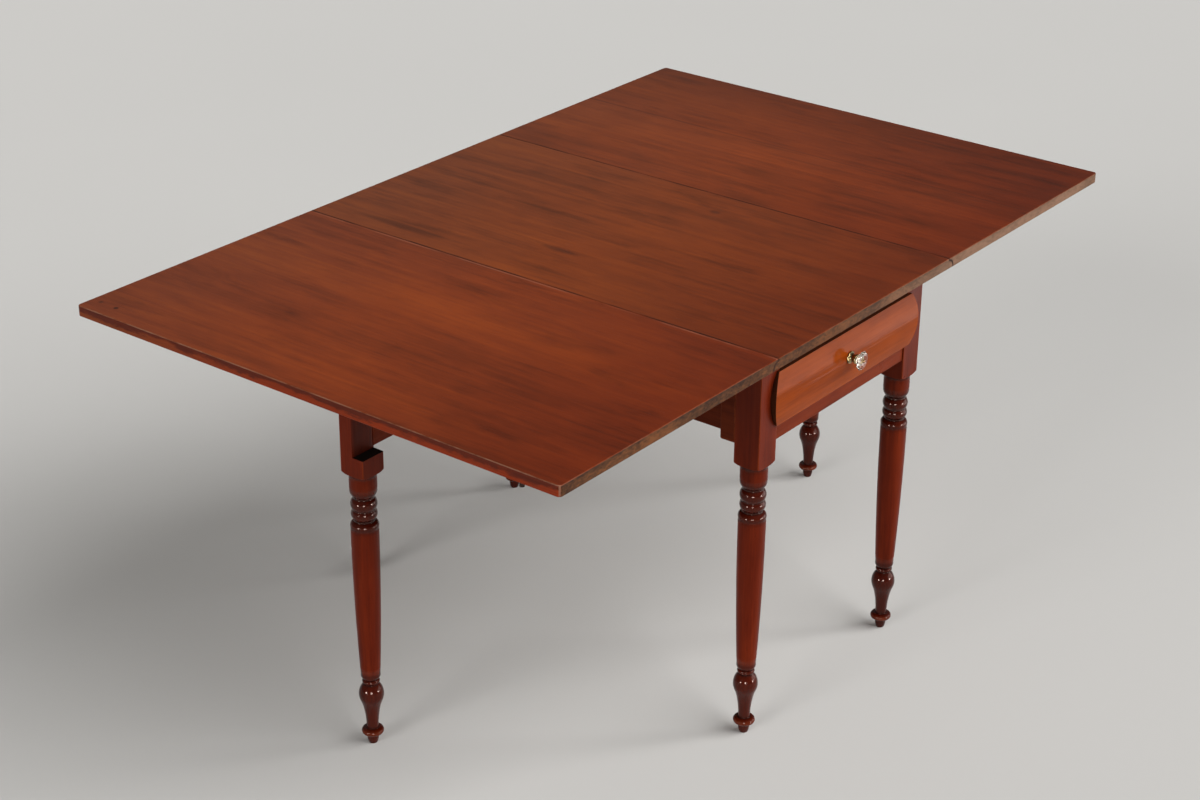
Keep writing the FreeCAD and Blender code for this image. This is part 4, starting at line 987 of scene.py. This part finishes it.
def knob_piece(node, corners, material, fluted=False):
    """Turn an outline about the knob's axis, which points out of the drawer front."""
    radius, out = rounded_outline(corners)
    angle = np.linspace(0, 2 * np.pi, KNOB_COLUMNS, endpoint=False)
    radius = np.repeat(radius[:, None], KNOB_COLUMNS, axis=1)
    if fluted:
        reach = np.clip((radius - FLUTE_START) / (radius.max() - FLUTE_START), 0, 1)
        radius = radius * (1 - FLUTE_SHARE * reach**2 * (0.5 - 0.5 * np.cos(KNOB_FLUTES * angle)))
    x = MM * radius * np.cos(angle)
    y = np.broadcast_to(KNOB_BASE - MM * out[:, None], x.shape)
    mesh = round_mesh(node, np.stack([x, y, KNOB_AXIS + MM * radius * np.sin(angle)], axis=-1))
    add_piece(node + "_turned", mesh, material, "drawer", node)


# %% [markdown]
# ## Glass and brass
# The glass is clear and faintly warm, with ripples from the mould and a film of dust in its gloss. The
# brass has gone dark in patches, most of all on the bolt's head, and fine scratches dull it.

# %% Knob
GLASS_DIM = (0.80, 0.73, 0.62)
GLASS_CLEAR = (0.90, 0.85, 0.77)
GLASS_ROUGHNESS = (0.02, 0.10)
GLASS_IOR = 1.5
RIPPLE_DEPTH = 0.0002


def pressed_glass():
    """Old pressed glass, faintly warm, with ripples from the mould and a little dust in its gloss."""
    finish = Finish("pressed_glass")
    ripple = finish.bump(finish.noise(finish.place(), 260, 2), RIPPLE_DEPTH)
    dust = finish.noise(finish.place(), 900, 3)
    rough = finish.between(dust, *GLASS_ROUGHNESS)
    tint = finish.ramp(dust, (0.4, GLASS_DIM), (0.7, GLASS_CLEAR))
    return finish.shade(tint, rough, ripple, Transmission_Weight=1.0, IOR=GLASS_IOR)


SCRATCHES_PER_PATCH = 9
SCRATCH_DEPTH = 0.00004
# Bright and tarnished colour, then the roughness of each
BRASS = ((0.42, 0.33, 0.17), (0.12, 0.085, 0.045), (0.16, 0.38))
DARK_BRASS = ((0.26, 0.15, 0.075), (0.10, 0.055, 0.030), (0.25, 0.45))
BRASS_PATCHES = 220


def worn_metal(name, bright, tarnish, roughness, scale, shine=1.0):
    """Metal with patches of tarnish, so many to the metre, that dull its shine."""
    finish = Finish(name)
    patches = finish.fade(finish.noise(finish.place(), scale, 5, 0.65), 0.42, 0.66)
    colour = finish.mix(patches, opaque(bright), opaque(tarnish))
    scratches = finish.noise(finish.place(), scale * SCRATCHES_PER_PATCH, 3)
    rough = finish.between(patches, *roughness)
    return finish.shade(colour, rough, finish.bump(scratches, SCRATCH_DEPTH), Metallic=shine)


brass = worn_metal("worn_brass", *BRASS, BRASS_PATCHES)
dark_brass = worn_metal("tarnished_brass", *DARK_BRASS, BRASS_PATCHES)
knob_piece("knob_glass", GLASS_OUTLINE, pressed_glass(), fluted=True)
knob_piece("knob_rose", ROSE_OUTLINE, brass)
knob_piece("knob_bolt", BOLT_OUTLINE, dark_brass)
print("knob on the axis z =", round(KNOB_AXIS, 4))

# %% [markdown]
# ## Iron and the little peg
# The hinges under the top, their screws, the pins of the wooden knuckle joints and the nut of the knob are
# plain iron, nearly black with age. Under the near leaf's edge sits one short dark peg. Their solids are
# right as they are.

# %% Small parts
DARK_TONES = ((0.012, 0.006, 0.004), (0.026, 0.013, 0.009), (0.050, 0.026, 0.017))
PEG_SHEEN = (0.2, (0.5, 0.7))
IRON = ((0.075, 0.068, 0.062), (0.060, 0.035, 0.022), (0.45, 0.75))
IRON_PATCHES = 160
IRON_SHINE = 0.85
IRON_NODES = [name for name in nodes if name.startswith(("hinge_", "gate_pin")) or name == "knob_nut"]
give(worn_metal("dull_iron", *IRON, IRON_PATCHES, IRON_SHINE), *IRON_NODES)
give(varnished_wood("dark_peg_wood", "Z", DARK_TONES, *PEG_SHEEN), "leaf_peg")

# %% [markdown]
# ## The floor
# A pale matt floor carries the table's soft shadow. It is wide enough to fill the picture's background.

# %% Floor
FLOOR_HALF = 40.0
FLOOR_COLOUR = (0.62, 0.61, 0.59)
FLOOR_CLOUD = 0.98
FLOOR_ROUGHNESS = 0.7


def matt_floor():
    """A plain painted floor, a touch uneven so that it isn't quite flat in tone."""
    finish = Finish("pale_floor")
    cloud = finish.noise(finish.place(), 0.6, 2)
    low = tuple(FLOOR_CLOUD * part for part in FLOOR_COLOUR)
    colour = finish.ramp(cloud, (0.3, low), (0.7, FLOOR_COLOUR))
    return finish.shade(colour, FLOOR_ROUGHNESS, Specular_IOR_Level=0.0)


floor_mesh = bpy.data.meshes.new("floor")
corners = FLOOR_HALF * np.array([(-1, -1, 0), (1, -1, 0), (1, 1, 0), (-1, 1, 0)])
floor_mesh.from_pydata(corners.tolist(), [], [(0, 1, 2, 3)])
floor_mesh.materials.append(matt_floor())
floor = bpy.data.objects.new("floor", floor_mesh)
bpy.context.scene.collection.objects.link(floor)
print("floor of", 2 * FLOOR_HALF, "metres")

# %% [markdown]
# ## The light
# One broad high light from the drawer end evens everything out, weaker ones come from left and right, and a
# grey-white surround fills the shadows. The broad lights don't show in the varnish, where they would glare.
# Four low panels show in gloss alone: one lies in the upper half of the drawer front, and the others put
# the small bright marks on the beads.

# %% Light
SURROUND_COLOUR = (1.0, 0.985, 0.96)
SURROUND_STRENGTH = 0.19
# Side that each broad light comes from, its strength, and its width in degrees
BROAD_LIGHTS = {
    "high_light": ((0.20, -0.80, 1.15), 2.8, 60),
    "left_light": ((-4.2, 0.2, 2.0), 1.25, 24),
    "right_light": ((2.6, -2.2, 2.3), 0.75, 16),
}
# Place, width, height and watts of each panel that shows in gloss alone, in metres
GLOSS_PANELS = {
    "viewer_panel": ((-3.1, -2.5, 0.66), 0.9, 0.5, 60),
    "left_panel": ((-4.0, 0.4, 0.50), 0.5, 0.4, 45),
    "right_panel": ((0.9, -3.9, 0.50), 0.5, 0.4, 45),
    "drawer_panel": ((0.80, -1.40, 0.45), 1.4, 0.7, 7),
}
AIM = Vector((0, 0, 0.5))


def add_light(name, kind, place, **settings):
    """A light at a place, turned towards the table."""
    data = bpy.data.lights.new(name, kind)
    for setting, value in settings.items():
        setattr(data, setting, value)
    light = bpy.data.objects.new(name, data)
    light.location = place
    light.rotation_mode = "QUATERNION"
    light.rotation_quaternion = (AIM - Vector(place)).to_track_quat("-Z", "Y")
    light.visible_camera = False
    bpy.context.scene.collection.objects.link(light)
    return light


for name, (side, strength, width) in BROAD_LIGHTS.items():
    broad_light = add_light(name, "SUN", side, energy=strength, angle=math.radians(width))
    broad_light.visible_glossy = False
for name, (place, width, height, watts) in GLOSS_PANELS.items():
    panel = add_light(name, "AREA", place, shape="RECTANGLE", size=width, size_y=height, energy=watts)
    panel.visible_diffuse = False
world = bpy.data.worlds.new("surround")
world.use_nodes = True
background = world.node_tree.nodes["Background"]
background.inputs["Color"].default_value = opaque(SURROUND_COLOUR)
background.inputs["Strength"].default_value = SURROUND_STRENGTH
bpy.context.scene.world = world
bpy.context.scene.view_settings.view_transform = "Standard"
print("surround,", len(BROAD_LIGHTS), "broad lights and", len(GLOSS_PANELS), "panels")
